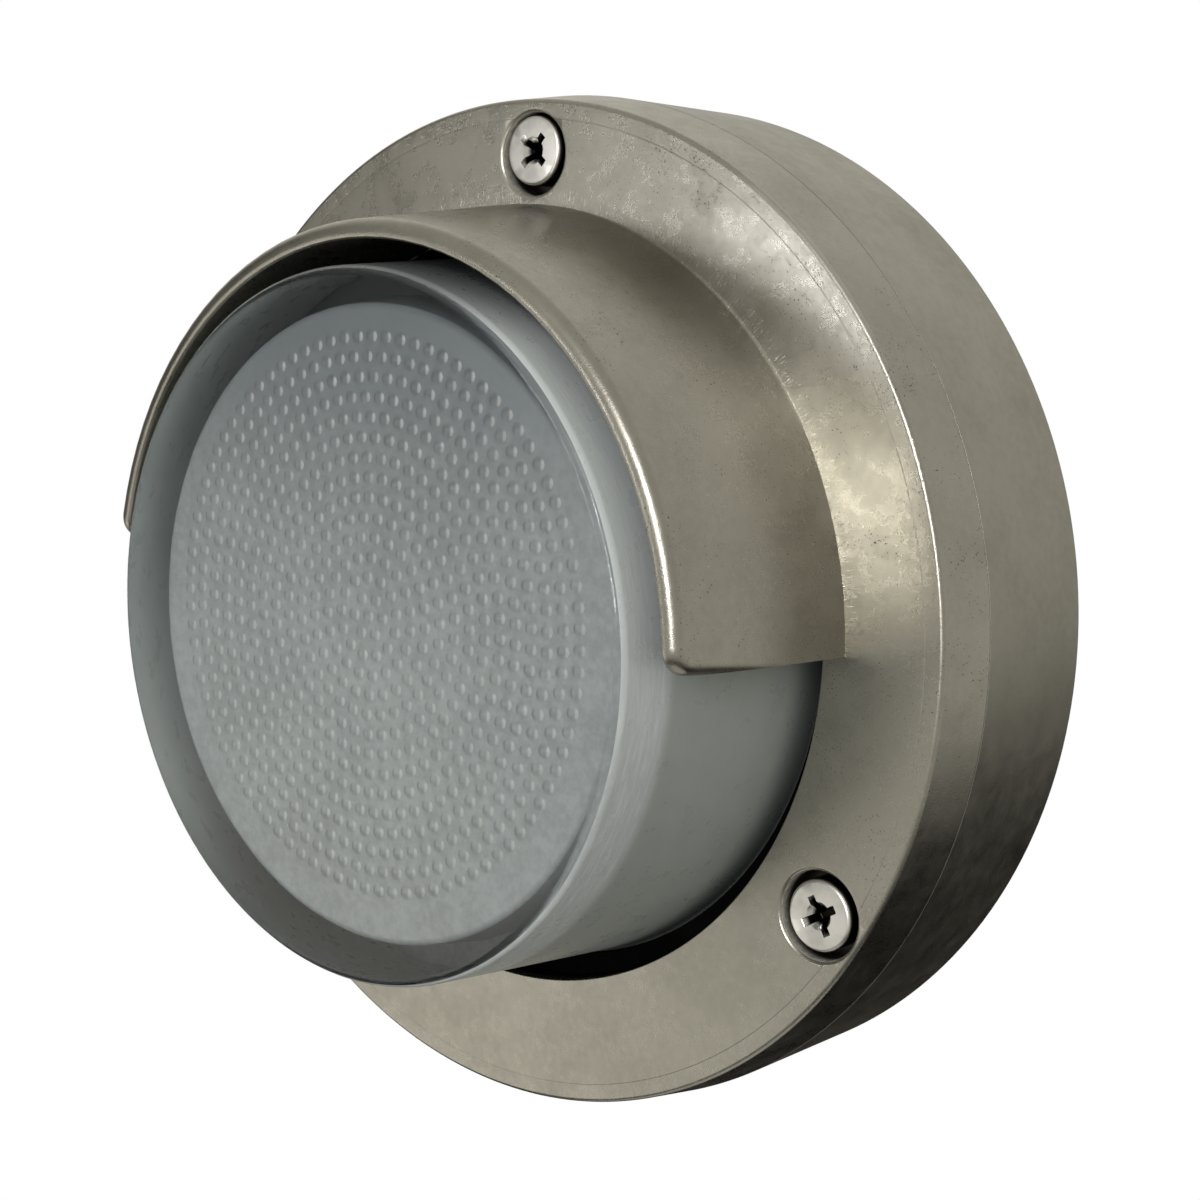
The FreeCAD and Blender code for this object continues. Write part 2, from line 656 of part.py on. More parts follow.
def make_cheese_screw(label, cross_angle, position):
    """A face screw: flat-topped head with a cross recess, and a plain shank for its thread."""
    screw = new_body(label)
    turn(screw, "blank", [
        ("0", head_top),
        ("screw_head / 2", head_top),
        ("screw_head / 2", head_seat),
        ("screw_thread / 2", head_seat),
        ("screw_thread / 2", screw_tip),
        ("0", screw_tip),
    ])
    for number, (wide, tall) in enumerate([("cross_span", "cross_width"), ("cross_width", "cross_span")]):
        sketch = new_sketch(screw, f"cross_{number}_sketch", "XZ_Plane", head_top)
        draw_box(sketch, "0", "0", wide, tall)
        bind(sketch, "AttachmentOffset.Rotation.Angle", cross_angle)
        pocket = screw.newObject("PartDesign::Pocket", f"cross_{number}")
        pocket.Profile = sketch
        bind(pocket, "Length", "cross_depth")
        doc.recompute()
    across = f"{screw_radius} * cos({position})"
    up = f"{screw_radius} * sin({position})"
    place(screw, across, "0", up)
    return screw


def make_pan_screw(label, thread, head, head_height, length):
    """A small screw, its head's seat at its own origin and its head behind it."""
    screw = new_body(label)
    turn(screw, "blank", [
        ("0", f"-({head_height})"),
        (f"{head} / 2", f"-({head_height})"),
        (f"{head} / 2", "0"),
        (f"{thread} / 2", "0"),
        (f"{thread} / 2", length),
        ("0", length),
    ])
    cut_back(screw, "driver_slot", lambda s: draw_box(s, "0", "0", head, "slot_width"),
             f"-({head_height})", "slot_depth", forward=True)
    return screw


def face_the_front(screw):
    """Turn a screw round so that its head looks forward."""
    screw.Placement.Rotation = FreeCAD.Rotation(FreeCAD.Vector(0, 0, 1), 180)


def make_clamp_screws():
    screws = []
    for number in range(SCREWS_ROUND):
        angle = f"({-90 + number * AXIAL_ANGLE / SCREWS_ROUND} deg)"
        screw = make_pan_screw(f"clamp_screw_{number + 1}", "small_thread", "small_head",
                               "small_head_height", "clamp_screw_length")
        place(screw, f"{clamp_screw_radius} * cos{angle}", clamp_back, f"{clamp_screw_radius} * sin{angle}")
        screws.append(screw)
    return group("clamp_screws", screws)


def make_bracket():
    bracket = new_body("lamp_bracket")
    leg = "(bracket_span / 2)"
    inside = "(bracket_span / 2 - bracket_thickness)"
    foot = "(bracket_span / 2 + bracket_foot)"
    top = f"-{bracket_front}"
    under = f"-{bracket_back}"
    base = f"-{bracket_base}"
    step = f"-({bracket_base} + bracket_thickness)"
    sketch = new_sketch(bracket, "strip_sketch", "XY_Plane")
    draw_outline(sketch, [
        (f"-{foot}", base),
        (f"-{inside}", base),
        (f"-{inside}", under),
        (inside, under),
        (inside, base),
        (foot, base),
        (foot, step),
        (leg, step),
        (leg, top),
        (f"-{leg}", top),
        (f"-{leg}", step),
        (f"-{foot}", step),
    ])
    strip = bracket.newObject("PartDesign::Pad", "strip")
    strip.Profile = sketch
    strip.Midplane = True
    bind(strip, "Length", "bracket_width")
    doc.recompute()

    def draw_foot_holes(sketch):
        reach = "(bracket_span / 2 + bracket_foot / 2)"
        draw_circle(sketch, f"-{reach}", "0", "small_hole / 2")
        draw_circle(sketch, reach, "0", "small_hole / 2")

    def draw_plate_holes(sketch):
        draw_circle(sketch, "0", "0", "turret_radius + turret_fit")
        draw_holder_holes(sketch, "holder_screw_hole / 2")

    cut_back(bracket, "foot_holes", draw_foot_holes, f"{bracket_base} + bracket_thickness",
             "bracket_thickness")
    cut_back(bracket, "plate_holes", draw_plate_holes, bracket_front, "bracket_thickness")
    return bracket


def draw_holder_holes(sketch, radius):
    draw_circle(sketch, "-holder_screw_spacing / 2", "0", radius)
    draw_circle(sketch, "holder_screw_spacing / 2", "0", radius)


def make_bracket_screws():
    screws = []
    for side in (-1, 1):
        screw = make_pan_screw(f"bracket_screw_{len(screws) + 1}", "small_thread", "small_head",
                               "small_head_height", "small_screw_length")
        face_the_front(screw)
        place(screw, f"{side} * (bracket_span / 2 + bracket_foot / 2)",
              f"{bracket_base} + bracket_thickness")
        screws.append(screw)
    return group("bracket_screws", screws)


def make_reflector():
    reflector = new_body("reflector")
    bore = "(turret_radius + turret_fit)"
    rim = f"({reflector_front} + reflector_dish)"
    turn(reflector, "dish", [
        (bore, bracket_front),
        (reflector_floor, bracket_front),
        (reflector_rim, f"{rim} - reflector_thickness"),
        (reflector_rim, rim),
        (f"{reflector_floor} - reflector_thickness / 4", reflector_front),
        (bore, reflector_front),
    ])
    cut_back(reflector, "screw_holes", lambda s: draw_holder_holes(s, "holder_screw_hole / 2"),
             reflector_front, "reflector_thickness")
    return reflector


def make_lamp_holder():
    holder = new_body("lamp_holder")
    half_straight = "((holder_length - holder_width) / 2)"

    def draw_end(side):
        return lambda s: draw_circle(s, f"{side} * {half_straight}", "0", "holder_width / 2")

    raise_from(holder, "middle", lambda s: draw_box(s, "0", "0", f"2 * {half_straight}", "holder_width"),
               holder_back, "holder_depth")
    raise_from(holder, "left_end", draw_end(-1), holder_back, "holder_depth")
    raise_from(holder, "right_end", draw_end(1), holder_back, "holder_depth")
    raise_from(holder, "nose", lambda s: seat_on_axis(s, "turret_radius"),
               f"{bracket_back} - bracket_thickness", f"{reflector_front} - {bracket_back} + bracket_thickness")

    def draw_pin_bores(sketch):
        radius = "pin_radius + pin_fit + contact_wall + contact_fit"
        draw_circle(sketch, "-pin_spacing / 2", "0", radius)
        draw_circle(sketch, "pin_spacing / 2", "0", radius)

    cut_back(holder, "pin_bores", draw_pin_bores, reflector_front, "contact_sink + contact_length")
    cut_back(holder, "screw_holes", lambda s: draw_holder_holes(s, "holder_screw_hole / 2"),
             reflector_front, f"{reflector_front} - {holder_back}")
    sketch = new_sketch(holder, "lead_holes_sketch", "XY_Plane", "-holder_width / 2")
    draw_circle(sketch, "-lead_spacing / 2", f"-{lead_plane}", "lead_radius + lead_fit")
    draw_circle(sketch, "lead_spacing / 2", f"-{lead_plane}", "lead_radius + lead_fit")
    holes = holder.newObject("PartDesign::Pocket", "lead_holes")
    holes.Profile = sketch
    holes.Reversed = True
    bind(holes, "Length", "lead_socket_depth")
    doc.recompute()
    return holder


def make_holder_contacts():
    contacts = []
    for side in (-1, 1):
        contact = new_body(f"contact_{len(contacts) + 1}")
        front = f"({reflector_front} - contact_sink)"
        bore = "(pin_radius + pin_fit)"
        turn(contact, "sleeve", [
            (bore, f"{front} - contact_length"),
            (f"{bore} + contact_wall", f"{front} - contact_length"),
            (f"{bore} + contact_wall", front),
            (bore, front),
        ])
        place(contact, f"{side} * pin_spacing / 2")
        contacts.append(contact)
    return group("holder_contacts", contacts)


def make_holder_screws():
    screws = []
    length = f"({reflector_front} - {holder_back} + nut_thickness + holder_screw_end)"
    for side in (-1, 1):
        screw = make_pan_screw(f"holder_screw_{len(screws) + 1}", "holder_thread", "holder_head",
                               "holder_head_height", length)
        face_the_front(screw)
        place(screw, f"{side} * holder_screw_spacing / 2", reflector_front)
        screws.append(screw)
    return group("holder_screws", screws)


def make_holder_nuts():
    nuts = []
    for side in (-1, 1):
        number = len(nuts) + 1
        hexagon = doc.addObject("Part::Prism", f"nut_{number}_hexagon")
        hexagon.Polygon = 6
        bind(hexagon, "Circumradius", "nut_flats / sqrt(3)")
        bind(hexagon, "Height", "nut_thickness")
        bore = doc.addObject("Part::Cylinder", f"nut_{number}_bore")
        bind(bore, "Radius", "holder_thread / 2 + thread_fit")
        bind(bore, "Height", "nut_thickness")
        nut = doc.addObject("Part::Cut", f"nut_{number}")
        nut.Base = hexagon
        nut.Tool = bore
        nut.Placement.Rotation = FreeCAD.Rotation(FreeCAD.Vector(1, 0, 0), 90)
        place(nut, f"{side} * holder_screw_spacing / 2", f"{holder_back} - nut_thickness")
        nuts.append(nut)
    return group("holder_nuts", nuts)


def make_lamp_capsule():
    capsule = new_body("lamp_capsule")
    bulb = turn(capsule, "bulb", [
        ("0", pinch_front),
        ("bulb_diameter / 2", pinch_front),
        ("bulb_diameter / 2", bulb_front),
        ("0", bulb_front),
    ])
    tip = -value(bulb_front)
    round_edges(capsule, "tip", bulb, lambda p: near(p.y, tip) and near(radius_of(p), value("bulb_diameter / 2")),
                "bulb_tip_round")
    raise_from(capsule, "pinch", lambda s: draw_box(s, "0", "0", "pinch_width", "pinch_thickness"),
               lamp_seat, "pinch_length + bulb_wall")
    inner = "(bulb_diameter / 2 - bulb_wall)"
    turn(capsule, "hollow", [
        ("0", f"{pinch_front} + bulb_wall"),
        (inner, f"{pinch_front} + bulb_wall"),
        (inner, f"{bulb_front} - bulb_tip_round"),
        (f"{inner} / 2", f"{bulb_front} - 2 * bulb_wall"),
        ("0", f"{bulb_front} - 2 * bulb_wall"),
    ], "PartDesign::Groove")

    def draw_pins(sketch):
        draw_circle(sketch, "-pin_spacing / 2", "0", "pin_radius")
        draw_circle(sketch, "pin_spacing / 2", "0", "pin_radius")

    cut_back(capsule, "pin_holes", draw_pins, f"{pinch_front} + bulb_wall", "pinch_length + bulb_wall")
    return capsule


def make_lamp_pins():
    pins = []
    for side in (-1, 1):
        pin = doc.addObject("Part::Cylinder", f"lamp_pin_{len(pins) + 1}")
        bind(pin, "Radius", "pin_radius")
        bind(pin, "Height", "pin_length + pin_inside")
        pin.Placement.Rotation = FreeCAD.Rotation(FreeCAD.Vector(1, 0, 0), 90)
        place(pin, f"{side} * pin_spacing / 2", f"{lamp_seat} - pin_length")
        pins.append(pin)
    return group("lamp_pins", pins)


def make_lamp_filament():
    coil = doc.addObject("Part::Cylinder", "filament_coil")
    bind(coil, "Radius", "filament_radius")
    bind(coil, "Height", "pin_spacing + 4 * filament_leg_radius")
    coil.Placement.Rotation = FreeCAD.Rotation(FreeCAD.Vector(0, 1, 0), 90)
    place(coil, "-(pin_spacing / 2 + 2 * filament_leg_radius)", f"{pin_top} + filament_height")
    legs = []
    for side in (-1, 1):
        leg = doc.addObject("Part::Cylinder", f"filament_leg_{len(legs) + 1}")
        bind(leg, "Radius", "filament_leg_radius")
        bind(leg, "Height", "filament_height")
        leg.Placement.Rotation = FreeCAD.Rotation(FreeCAD.Vector(1, 0, 0), 90)
        place(leg, f"{side} * pin_spacing / 2", pin_top)
        legs.append(leg)
    filament = doc.addObject("Part::MultiFuse", "lamp_filament")
    filament.Label = "lamp_filament"
    filament.Shapes = [coil] + legs
    return filament


def make_terminal_block():
    block = new_body("terminal_block")
    raise_from(block, "body", lambda s: draw_box(s, "0", block_up, "block_width", "block_length"),
               block_back, "block_depth")
    sketch = new_sketch(block, "barrel_bores_sketch", "XY_Plane", f"{block_up} - block_length / 2")
    for side in (-1, 1):
        draw_circle(sketch, f"{side} * {half_pole}", f"-{lead_plane}", "barrel_radius + barrel_fit")
    bores = block.newObject("PartDesign::Pocket", "barrel_bores")
    bores.Profile = sketch
    bores.Reversed = True
    bind(bores, "Length", "block_length")
    doc.recompute()

    def draw_driver_holes(sketch):
        for side in (-1, 1):
            for end in (-1, 1):
                draw_circle(sketch, f"{side} * {half_pole}", f"{block_up} + {end} * clamping_pitch / 2",
                            "clamping_hole")

    cut_back(block, "driver_holes", draw_driver_holes, block_front, "block_depth - block_axis_height")
    cut_back(block, "fixing_hole", lambda s: draw_circle(s, "0", block_up, "small_hole / 2"),
             block_front, "block_depth")
    cut_back(block, "head_recess",
             lambda s: draw_circle(s, "0", block_up, "small_head / 2 + thread_fit"),
             block_front, "block_screw_sink")
    return block


def make_block_screw():
    length = f"({block_front} - block_screw_sink - {block_back} + block_pad_height)"
    screw = make_pan_screw("block_screw", "small_thread", "small_head", "small_head_height", length)
    face_the_front(screw)
    place(screw, "0", f"{block_front} - block_screw_sink", block_up)
    return screw


def make_terminal_barrels():
    """The two brass barrels lie along Z in the block, each with two tapped holes in its front."""
    barrels = []
    for side in (-1, 1):
        number = len(barrels) + 1
        tube = doc.addObject("Part::Cylinder", f"barrel_{number}_tube")
        bind(tube, "Radius", "barrel_radius")
        bore = doc.addObject("Part::Cylinder", f"barrel_{number}_bore")
        bind(bore, "Radius", "barrel_bore")
        for piece in (tube, bore):
            bind(piece, "Height", "barrel_length")
            place(piece, f"{side} * {half_pole}", lead_plane, f"{block_up} - barrel_length / 2")
        tools = [bore]
        for end in (-1, 1):
            tap = doc.addObject("Part::Cylinder", f"barrel_{number}_tap_{len(tools)}")
            bind(tap, "Radius", "clamping_radius + thread_fit")
            bind(tap, "Height", "2 * barrel_radius")
            tap.Placement.Rotation = FreeCAD.Rotation(FreeCAD.Vector(1, 0, 0), 90)
            place(tap, f"{side} * {half_pole}", lead_plane, f"{block_up} + {end} * clamping_pitch / 2")
            tools.append(tap)
        hollow = doc.addObject("Part::MultiFuse", f"barrel_{number}_hollow")
        hollow.Shapes = tools
        barrel = doc.addObject("Part::Cut", f"barrel_{number}")
        barrel.Base = tube
        barrel.Tool = hollow
        barrels.append(barrel)
    return group("terminal_barrels", barrels)


def make_terminal_screws():
    screws = []
    for side in (-1, 1):
        for end in (-1, 1):
            number = len(screws) + 1
            screw = new_body(f"terminal_screw_{number}")
            tip = f"({lead_plane} + lead_radius)"
            turn(screw, "stud", [
                ("0", tip),
                ("clamping_radius", tip),
                ("clamping_radius", f"{tip} + clamping_length"),
                ("0", f"{tip} + clamping_length"),
            ])
            cut_back(screw, "driver_slot", lambda s: draw_box(s, "0", "0", "2 * clamping_radius + slot_width",
                                                              "slot_width / 2"),
                     f"{tip} + clamping_length", "slot_depth / 2")
            place(screw, f"{side} * {half_pole}", "0", f"{block_up} + {end} * clamping_pitch / 2")
            screws.append(screw)
    return group("terminal_screws", screws)


def lead_route(side):
    """Corners of a lead: out of the holder, across to its pole, and into the barrel."""
    forward = value(lead_plane)
    near_x = side * value("lead_spacing / 2")
    far_x = side * value(half_pole)
    holder_edge = -value("holder_width / 2")
    block_edge = value(f"{block_up} + block_length / 2")
    straight = value("lead_straight")
    return [
        FreeCAD.Vector(near_x, -forward, holder_edge + value("lead_socket_depth")),
        FreeCAD.Vector(near_x, -forward, holder_edge - straight),
        FreeCAD.Vector(far_x, -forward, block_edge + straight),
        FreeCAD.Vector(far_x, -forward, block_edge - value("lead_grip")),
    ]


def rounded_path(corners):
    """Straight runs joined by arcs tangent to them, each as large as its two runs allow."""
    pieces = []
    start = corners[0]
    for before, corner, after in zip(corners, corners[1:], corners[2:]):
        incoming = (corner - before).normalize()
        outgoing = (after - corner).normalize()
        half_turn = incoming.getAngle(outgoing) / 2
        cut = 0.45 * min((corner - before).Length, (after - corner).Length)
        radius = cut / math.tan(half_turn)
        entry = corner - incoming * cut
        leave = corner + outgoing * cut
        inward = (outgoing - incoming).normalize()
        centre = corner + inward * (radius / math.cos(half_turn))
        middle = centre - inward * radius
        pieces.append(Part.LineSegment(start, entry).toShape())
        pieces.append(Part.Arc(entry, middle, leave).toShape())
        start = leave
    pieces.append(Part.LineSegment(start, corners[-1]).toShape())
    return Part.Wire(pieces)


def make_lead(label, side):
    corners = lead_route(side)
    path = rounded_path(corners)
    radius = value("lead_radius")
    ring = Part.Wire(Part.makeCircle(radius, corners[0], corners[1] - corners[0]))
    tube = path.makePipeShell([ring], True, True)
    expected = math.pi * radius ** 2 * path.Length
    if abs(tube.Volume - expected) > 0.001 * expected:
        raise RuntimeError(f"{label} has volume {tube.Volume:.1f}, not {expected:.1f}")
    lead = doc.addObject("Part::Feature", label)
    lead.Label = label
    lead.Shape = tube
    return lead


def check_document():
    for thing in doc.Objects:
        if "Invalid" in thing.State or "Error" in thing.State:
            raise RuntimeError(f"{thing.Label} failed: {thing.State}")


def write_parts(nodes):
    os.makedirs("parts", exist_ok=True)
    for node in nodes:
        shape = node.Shape
        if shape.isNull() or not shape.isValid():
            raise RuntimeError(f"{node.Label} has no valid shape")
        shape.exportStep(os.path.join("parts", node.Label + ".step"))
        print(f"{node.Label}: {len(shape.Solids)} solid(s), {shape.Volume:.1f} mm3")


nodes = [
    make_back_box(),
    make_wall_gasket(),
    make_box_gasket(),
    make_entry_grommet(),
    make_bracket(),
    make_bracket_screws(),
    make_reflector(),
    make_lamp_holder(),
    make_holder_contacts(),
    make_holder_screws(),
    make_holder_nuts(),
    make_terminal_block(),
    make_terminal_barrels(),
    make_terminal_screws(),
    make_block_screw(),
    make_lead("lead_left", -1),
    make_lead("lead_right", 1),
    make_lamp_capsule(),
    make_lamp_pins(),
    make_lamp_filament(),
    make_hooded_face(),
    make_lens(),
    make_lens_gasket(),
    make_clamp_ring(),
    make_clamp_screws(),
    make_cheese_screw("face_screw_top", "top_cross_angle", "90 deg"),
    make_cheese_screw("face_screw_right", "right_cross_angle", "-30 deg"),
    make_cheese_screw("face_screw_left", "left_cross_angle", "210 deg"),
]
doc.recompute()
check_document()
write_parts(nodes)
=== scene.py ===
import bmesh
import bpy
from math import cos, pi, radians, sin
from mathutils import Matrix, Vector


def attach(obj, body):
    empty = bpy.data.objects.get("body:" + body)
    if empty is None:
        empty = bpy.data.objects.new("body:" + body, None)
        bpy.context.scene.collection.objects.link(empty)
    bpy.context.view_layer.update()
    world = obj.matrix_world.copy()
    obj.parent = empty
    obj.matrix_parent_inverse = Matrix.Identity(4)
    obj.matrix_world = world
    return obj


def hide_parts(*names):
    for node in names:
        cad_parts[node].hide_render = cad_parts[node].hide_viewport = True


mm = 0.001
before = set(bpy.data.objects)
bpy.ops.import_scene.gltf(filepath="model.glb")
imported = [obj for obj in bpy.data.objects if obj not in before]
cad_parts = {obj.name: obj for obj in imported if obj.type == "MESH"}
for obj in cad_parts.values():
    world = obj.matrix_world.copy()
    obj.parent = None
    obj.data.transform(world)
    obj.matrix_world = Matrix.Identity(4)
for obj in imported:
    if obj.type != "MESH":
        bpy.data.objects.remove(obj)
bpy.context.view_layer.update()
scene = bpy.context.scene
print("frame loaded")

# The light hangs on a wall at y = 0 and faces -Y. Sizes are in millimetres, and "forward" is the distance
# from the wall.


def bevelled(bm, geom, size, segments, affect="EDGES", clamp=False):
    bmesh.ops.bevel(bm, geom=geom, offset=size * mm, offset_type="OFFSET", segments=segments, profile=0.5,
                    affect=affect, clamp_overlap=clamp, material=-1)


def spun(bm, degrees, steps, merge=True):
    # the outline swept round the light's axis
    bmesh.ops.spin(bm, geom=bm.verts[:] + bm.edges[:], cent=(0, 0, 0), axis=(0, 1, 0), dvec=(0, 0, 0),
                   angle=radians(degrees), steps=steps, use_merge=merge, use_normal_flip=False,
                   use_duplicate=False)


def turned(corners, steps=192, closed=True, rounds=5):
    # corners are (radius, forward, rounding); an open outline starts and ends on the axis
    bm = bmesh.new()
    points = [bm.verts.new((radius * mm, -forward * mm, 0)) for radius, forward, rounding in corners]
    pairs = list(zip(points, points[1:])) + ([(points[-1], points[0])] if closed else [])
    for pair in pairs:
        bm.edges.new(pair)
    for point, (radius, forward, rounding) in zip(points, corners):
        if rounding:
            bevelled(bm, [point], rounding, rounds, "VERTICES")
    spun(bm, 360, steps)
    bmesh.ops.remove_doubles(bm, verts=bm.verts[:], dist=0.00001 * mm)
    bmesh.ops.recalc_face_normals(bm, faces=bm.faces[:])
    return bm


def rod(bm, radius, near, far, across=0, up=0, farRadius=None, steps=48):
    # a round bar along Y from one distance off the wall to another
    spot = Matrix.Translation((across * mm, -(near + far) / 2 * mm, up * mm))
    bmesh.ops.create_cone(bm, cap_ends=True, cap_tris=False, segments=steps, radius1=radius * mm,
                          radius2=(radius if farRadius is None else farRadius) * mm, depth=(far - near) * mm,
                          matrix=spot @ Matrix.Rotation(radians(90), 4, "X"))


def rods(*bars, **others):
    bm = bmesh.new()
    for bar in bars:
        rod(bm, *bar, **others)
    return bm


def block(width, near, far, height, across=0, up=0, edge=0, segments=3):
    # a box, with all its edges eased when an edge size is given
    bm = bmesh.new()
    spot = Matrix.Translation((across * mm, -(near + far) / 2 * mm, up * mm))
    stretch = Matrix.Diagonal((width * mm, (far - near) * mm, height * mm, 1))
    bmesh.ops.create_cube(bm, size=1, matrix=spot @ stretch)
    if edge:
        bevelled(bm, bm.edges[:], edge, segments)
    return bm


def uprightBar(bm, radius, length, across, forward, up, steps):
    # a round bar along Z round its middle
    bmesh.ops.create_cone(bm, cap_ends=True, cap_tris=False, segments=steps, radius1=radius * mm,
                          radius2=radius * mm, depth=length * mm,
                          matrix=Matrix.Translation((across * mm, -forward * mm, up * mm)))


def tubeAlong(points, radius, roundness, smooth=False):
    # a round wire through (across, forward, up) points
    curve = bpy.data.curves.new("run", "CURVE")
    curve.dimensions = "3D"
    curve.bevel_depth = radius * mm
    curve.bevel_resolution = roundness
    curve.use_fill_caps = True
    spline = curve.splines.new("NURBS" if smooth else "POLY")
    spline.points.add(len(points) - 1)
    for point, (across, forward, up) in zip(spline.points, points):
        point.co = (across * mm, -forward * mm, up * mm, 1)
    if smooth:
        spline.order_u = 3
        spline.use_endpoint_u = True
        spline.resolution_u = 10
    run = bpy.data.objects.new("run", curve)
    scene.collection.objects.link(run)
    bm = bmesh.new()
    shape = run.evaluated_get(bpy.context.evaluated_depsgraph_get())
    bm.from_mesh(bpy.data.meshes.new_from_object(shape))
    bpy.data.objects.remove(run)
    bmesh.ops.remove_doubles(bm, verts=bm.verts[:], dist=0.001 * mm)
    return bm


def moved(bm, across=0, forward=0, up=0, spin=0):
    # turned about its own Y axis, then moved
    bmesh.ops.rotate(bm, verts=bm.verts[:], cent=(0, 0, 0), matrix=Matrix.Rotation(radians(spin), 3, "Y"))
    bmesh.ops.translate(bm, verts=bm.verts[:], vec=(across * mm, -forward * mm, up * mm))
    return bm


def joined(*parts):
    bm = bmesh.new()
    for part in parts:
        mesh = bpy.data.meshes.new("part")
        part.to_mesh(mesh)
        part.free()
        bm.from_mesh(mesh)
        bpy.data.meshes.remove(mesh)
    return bm


def onCircle(bm, radius, angle):
    # moved onto a circle round the light's axis, the angle counted from +X towards +Z
    return moved(bm, radius * cos(radians(angle)), 0, radius * sin(radians(angle)))


def around(bm, radius, angles):
    # copies of a shape on a circle
    copies = [onCircle(bm.copy(), radius, angle) for angle in angles]
    bm.free()
    return joined(*copies)


def combined(base, tool, operation):
    workpieces = []
    for bm in (base, tool):
        bmesh.ops.recalc_face_normals(bm, faces=bm.faces[:])
        mesh = bpy.data.meshes.new("workpiece")
        bm.to_mesh(mesh)
        bm.free()
        workpieces.append(bpy.data.objects.new("workpiece", mesh))
        scene.collection.objects.link(workpieces[-1])
    cut = workpieces[0].modifiers.new("cut", "BOOLEAN")
    cut.operation = operation
    cut.solver = "EXACT"
    cut.object = workpieces[1]
    shape = workpieces[0].evaluated_get(bpy.context.evaluated_depsgraph_get())
    result = bmesh.new()
    result.from_mesh(shape.to_mesh())
    shape.to_mesh_clear()
    for workpiece in workpieces:
        mesh = workpiece.data
        bpy.data.objects.remove(workpiece)
        bpy.data.meshes.remove(mesh)
    bmesh.ops.remove_doubles(result, verts=result.verts[:], dist=0.001 * mm)
    bmesh.ops.dissolve_degenerate(result, edges=result.edges[:], dist=0.0005 * mm)
    return result


def eased(bm, size, angle=40, segments=2):
    # every edge sharper than the angle gets a small bevel
    edges = [edge for edge in bm.edges if edge.is_manifold and edge.calc_face_angle() > radians(angle)]
    bevelled(bm, edges, size, segments, clamp=True)
    return bm


def placed(name, bm, body, nodes, slotName, *materials, smooth=30):
    mesh = bpy.data.meshes.new(name)
    bm.to_mesh(mesh)
    bm.free()
    piece = bpy.data.objects.new(name, mesh)
    scene.collection.objects.link(piece)
    for material in materials:
        mesh.materials.append(material)
    mesh.polygons.foreach_set("use_smooth", [True] * len(mesh.polygons))
    mesh.set_sharp_from_angle(angle=radians(smooth))
    weigh = piece.modifiers.new("weighted normals", "WEIGHTED_NORMAL")
    weigh.keep_sharp = True
    weigh.weight = 80
    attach(piece, body)
    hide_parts(*nodes)
    return piece


def feed(tree, value, socket):
    if isinstance(value, bpy.types.NodeSocket):
        tree.links.new(value, socket)
    else:
        socket.default_value = value


def calc(tree, operation, *values):
    node = tree.nodes.new("ShaderNodeMath")
    node.operation = operation
    for value, socket in zip(values, node.inputs):
        feed(tree, value, socket)
    return node.outputs[0]


def plus(tree, first, second):
    return calc(tree, "ADD", first, second)


def minus(tree, first, second):
    return calc(tree, "SUBTRACT", first, second)


def times(tree, first, *others):
    for other in others:
        first = calc(tree, "MULTIPLY", first, other)
    return first


def ranged(tree, value, low, high, toLow=0.0, toHigh=1.0):
    # a smooth step from one end of the range to the other
    node = tree.nodes.new("ShaderNodeMapRange")
    node.interpolation_type = "SMOOTHSTEP"
    for number, given in zip(range(5), (value, low, high, toLow, toHigh)):
        feed(tree, given, node.inputs[number])
    return node.outputs[0]


def noise(tree, place, scale, detail=3.0, rough=0.5):
    node = tree.nodes.new("ShaderNodeTexNoise")
    feed(tree, place, node.inputs["Vector"])
    feed(tree, scale, node.inputs["Scale"])
    feed(tree, detail, node.inputs["Detail"])
    feed(tree, rough, node.inputs["Roughness"])
    return node.outputs[0]


def cells(tree, place, scale):
    node = tree.nodes.new("ShaderNodeTexVoronoi")
    feed(tree, place, node.inputs["Vector"])
    feed(tree, scale, node.inputs["Scale"])
    return node


def blended(tree, amount, first, second):
    node = tree.nodes.new("ShaderNodeMix")
    node.data_type = "RGBA"
    feed(tree, amount, node.inputs[0])
    feed(tree, first, node.inputs[6])
    feed(tree, second, node.inputs[7])
    return node.outputs[2]


def raised(tree, height, strength, distance, normal=None):
    node = tree.nodes.new("ShaderNodeBump")
    feed(tree, strength, node.inputs["Strength"])
    feed(tree, distance, node.inputs["Distance"])
    feed(tree, height, node.inputs["Height"])
    if normal is not None:
        feed(tree, normal, node.inputs["Normal"])
    return node.outputs[0]


def vectorOf(tree, x, y, z):
    node = tree.nodes.new("ShaderNodeCombineXYZ")
    for value, socket in zip((x, y, z), node.inputs):
        feed(tree, value, socket)
    return node.outputs[0]


def objectPlace(tree):
    return tree.nodes.new("ShaderNodeTexCoord").outputs["Object"]


def parted(tree, vector):
    node = tree.nodes.new("ShaderNodeSeparateXYZ")
    feed(tree, vector, node.inputs[0])
    return node.outputs


def polar(tree, place):
    # radius from the light's axis, and the direction from it as two numbers that close on themselves
    x, y, z = parted(tree, place)
    radius = calc(tree, "SQRT", plus(tree, times(tree, x, x), times(tree, z, z)))
    return radius, calc(tree, "DIVIDE", x, radius), calc(tree, "DIVIDE", z, radius), y


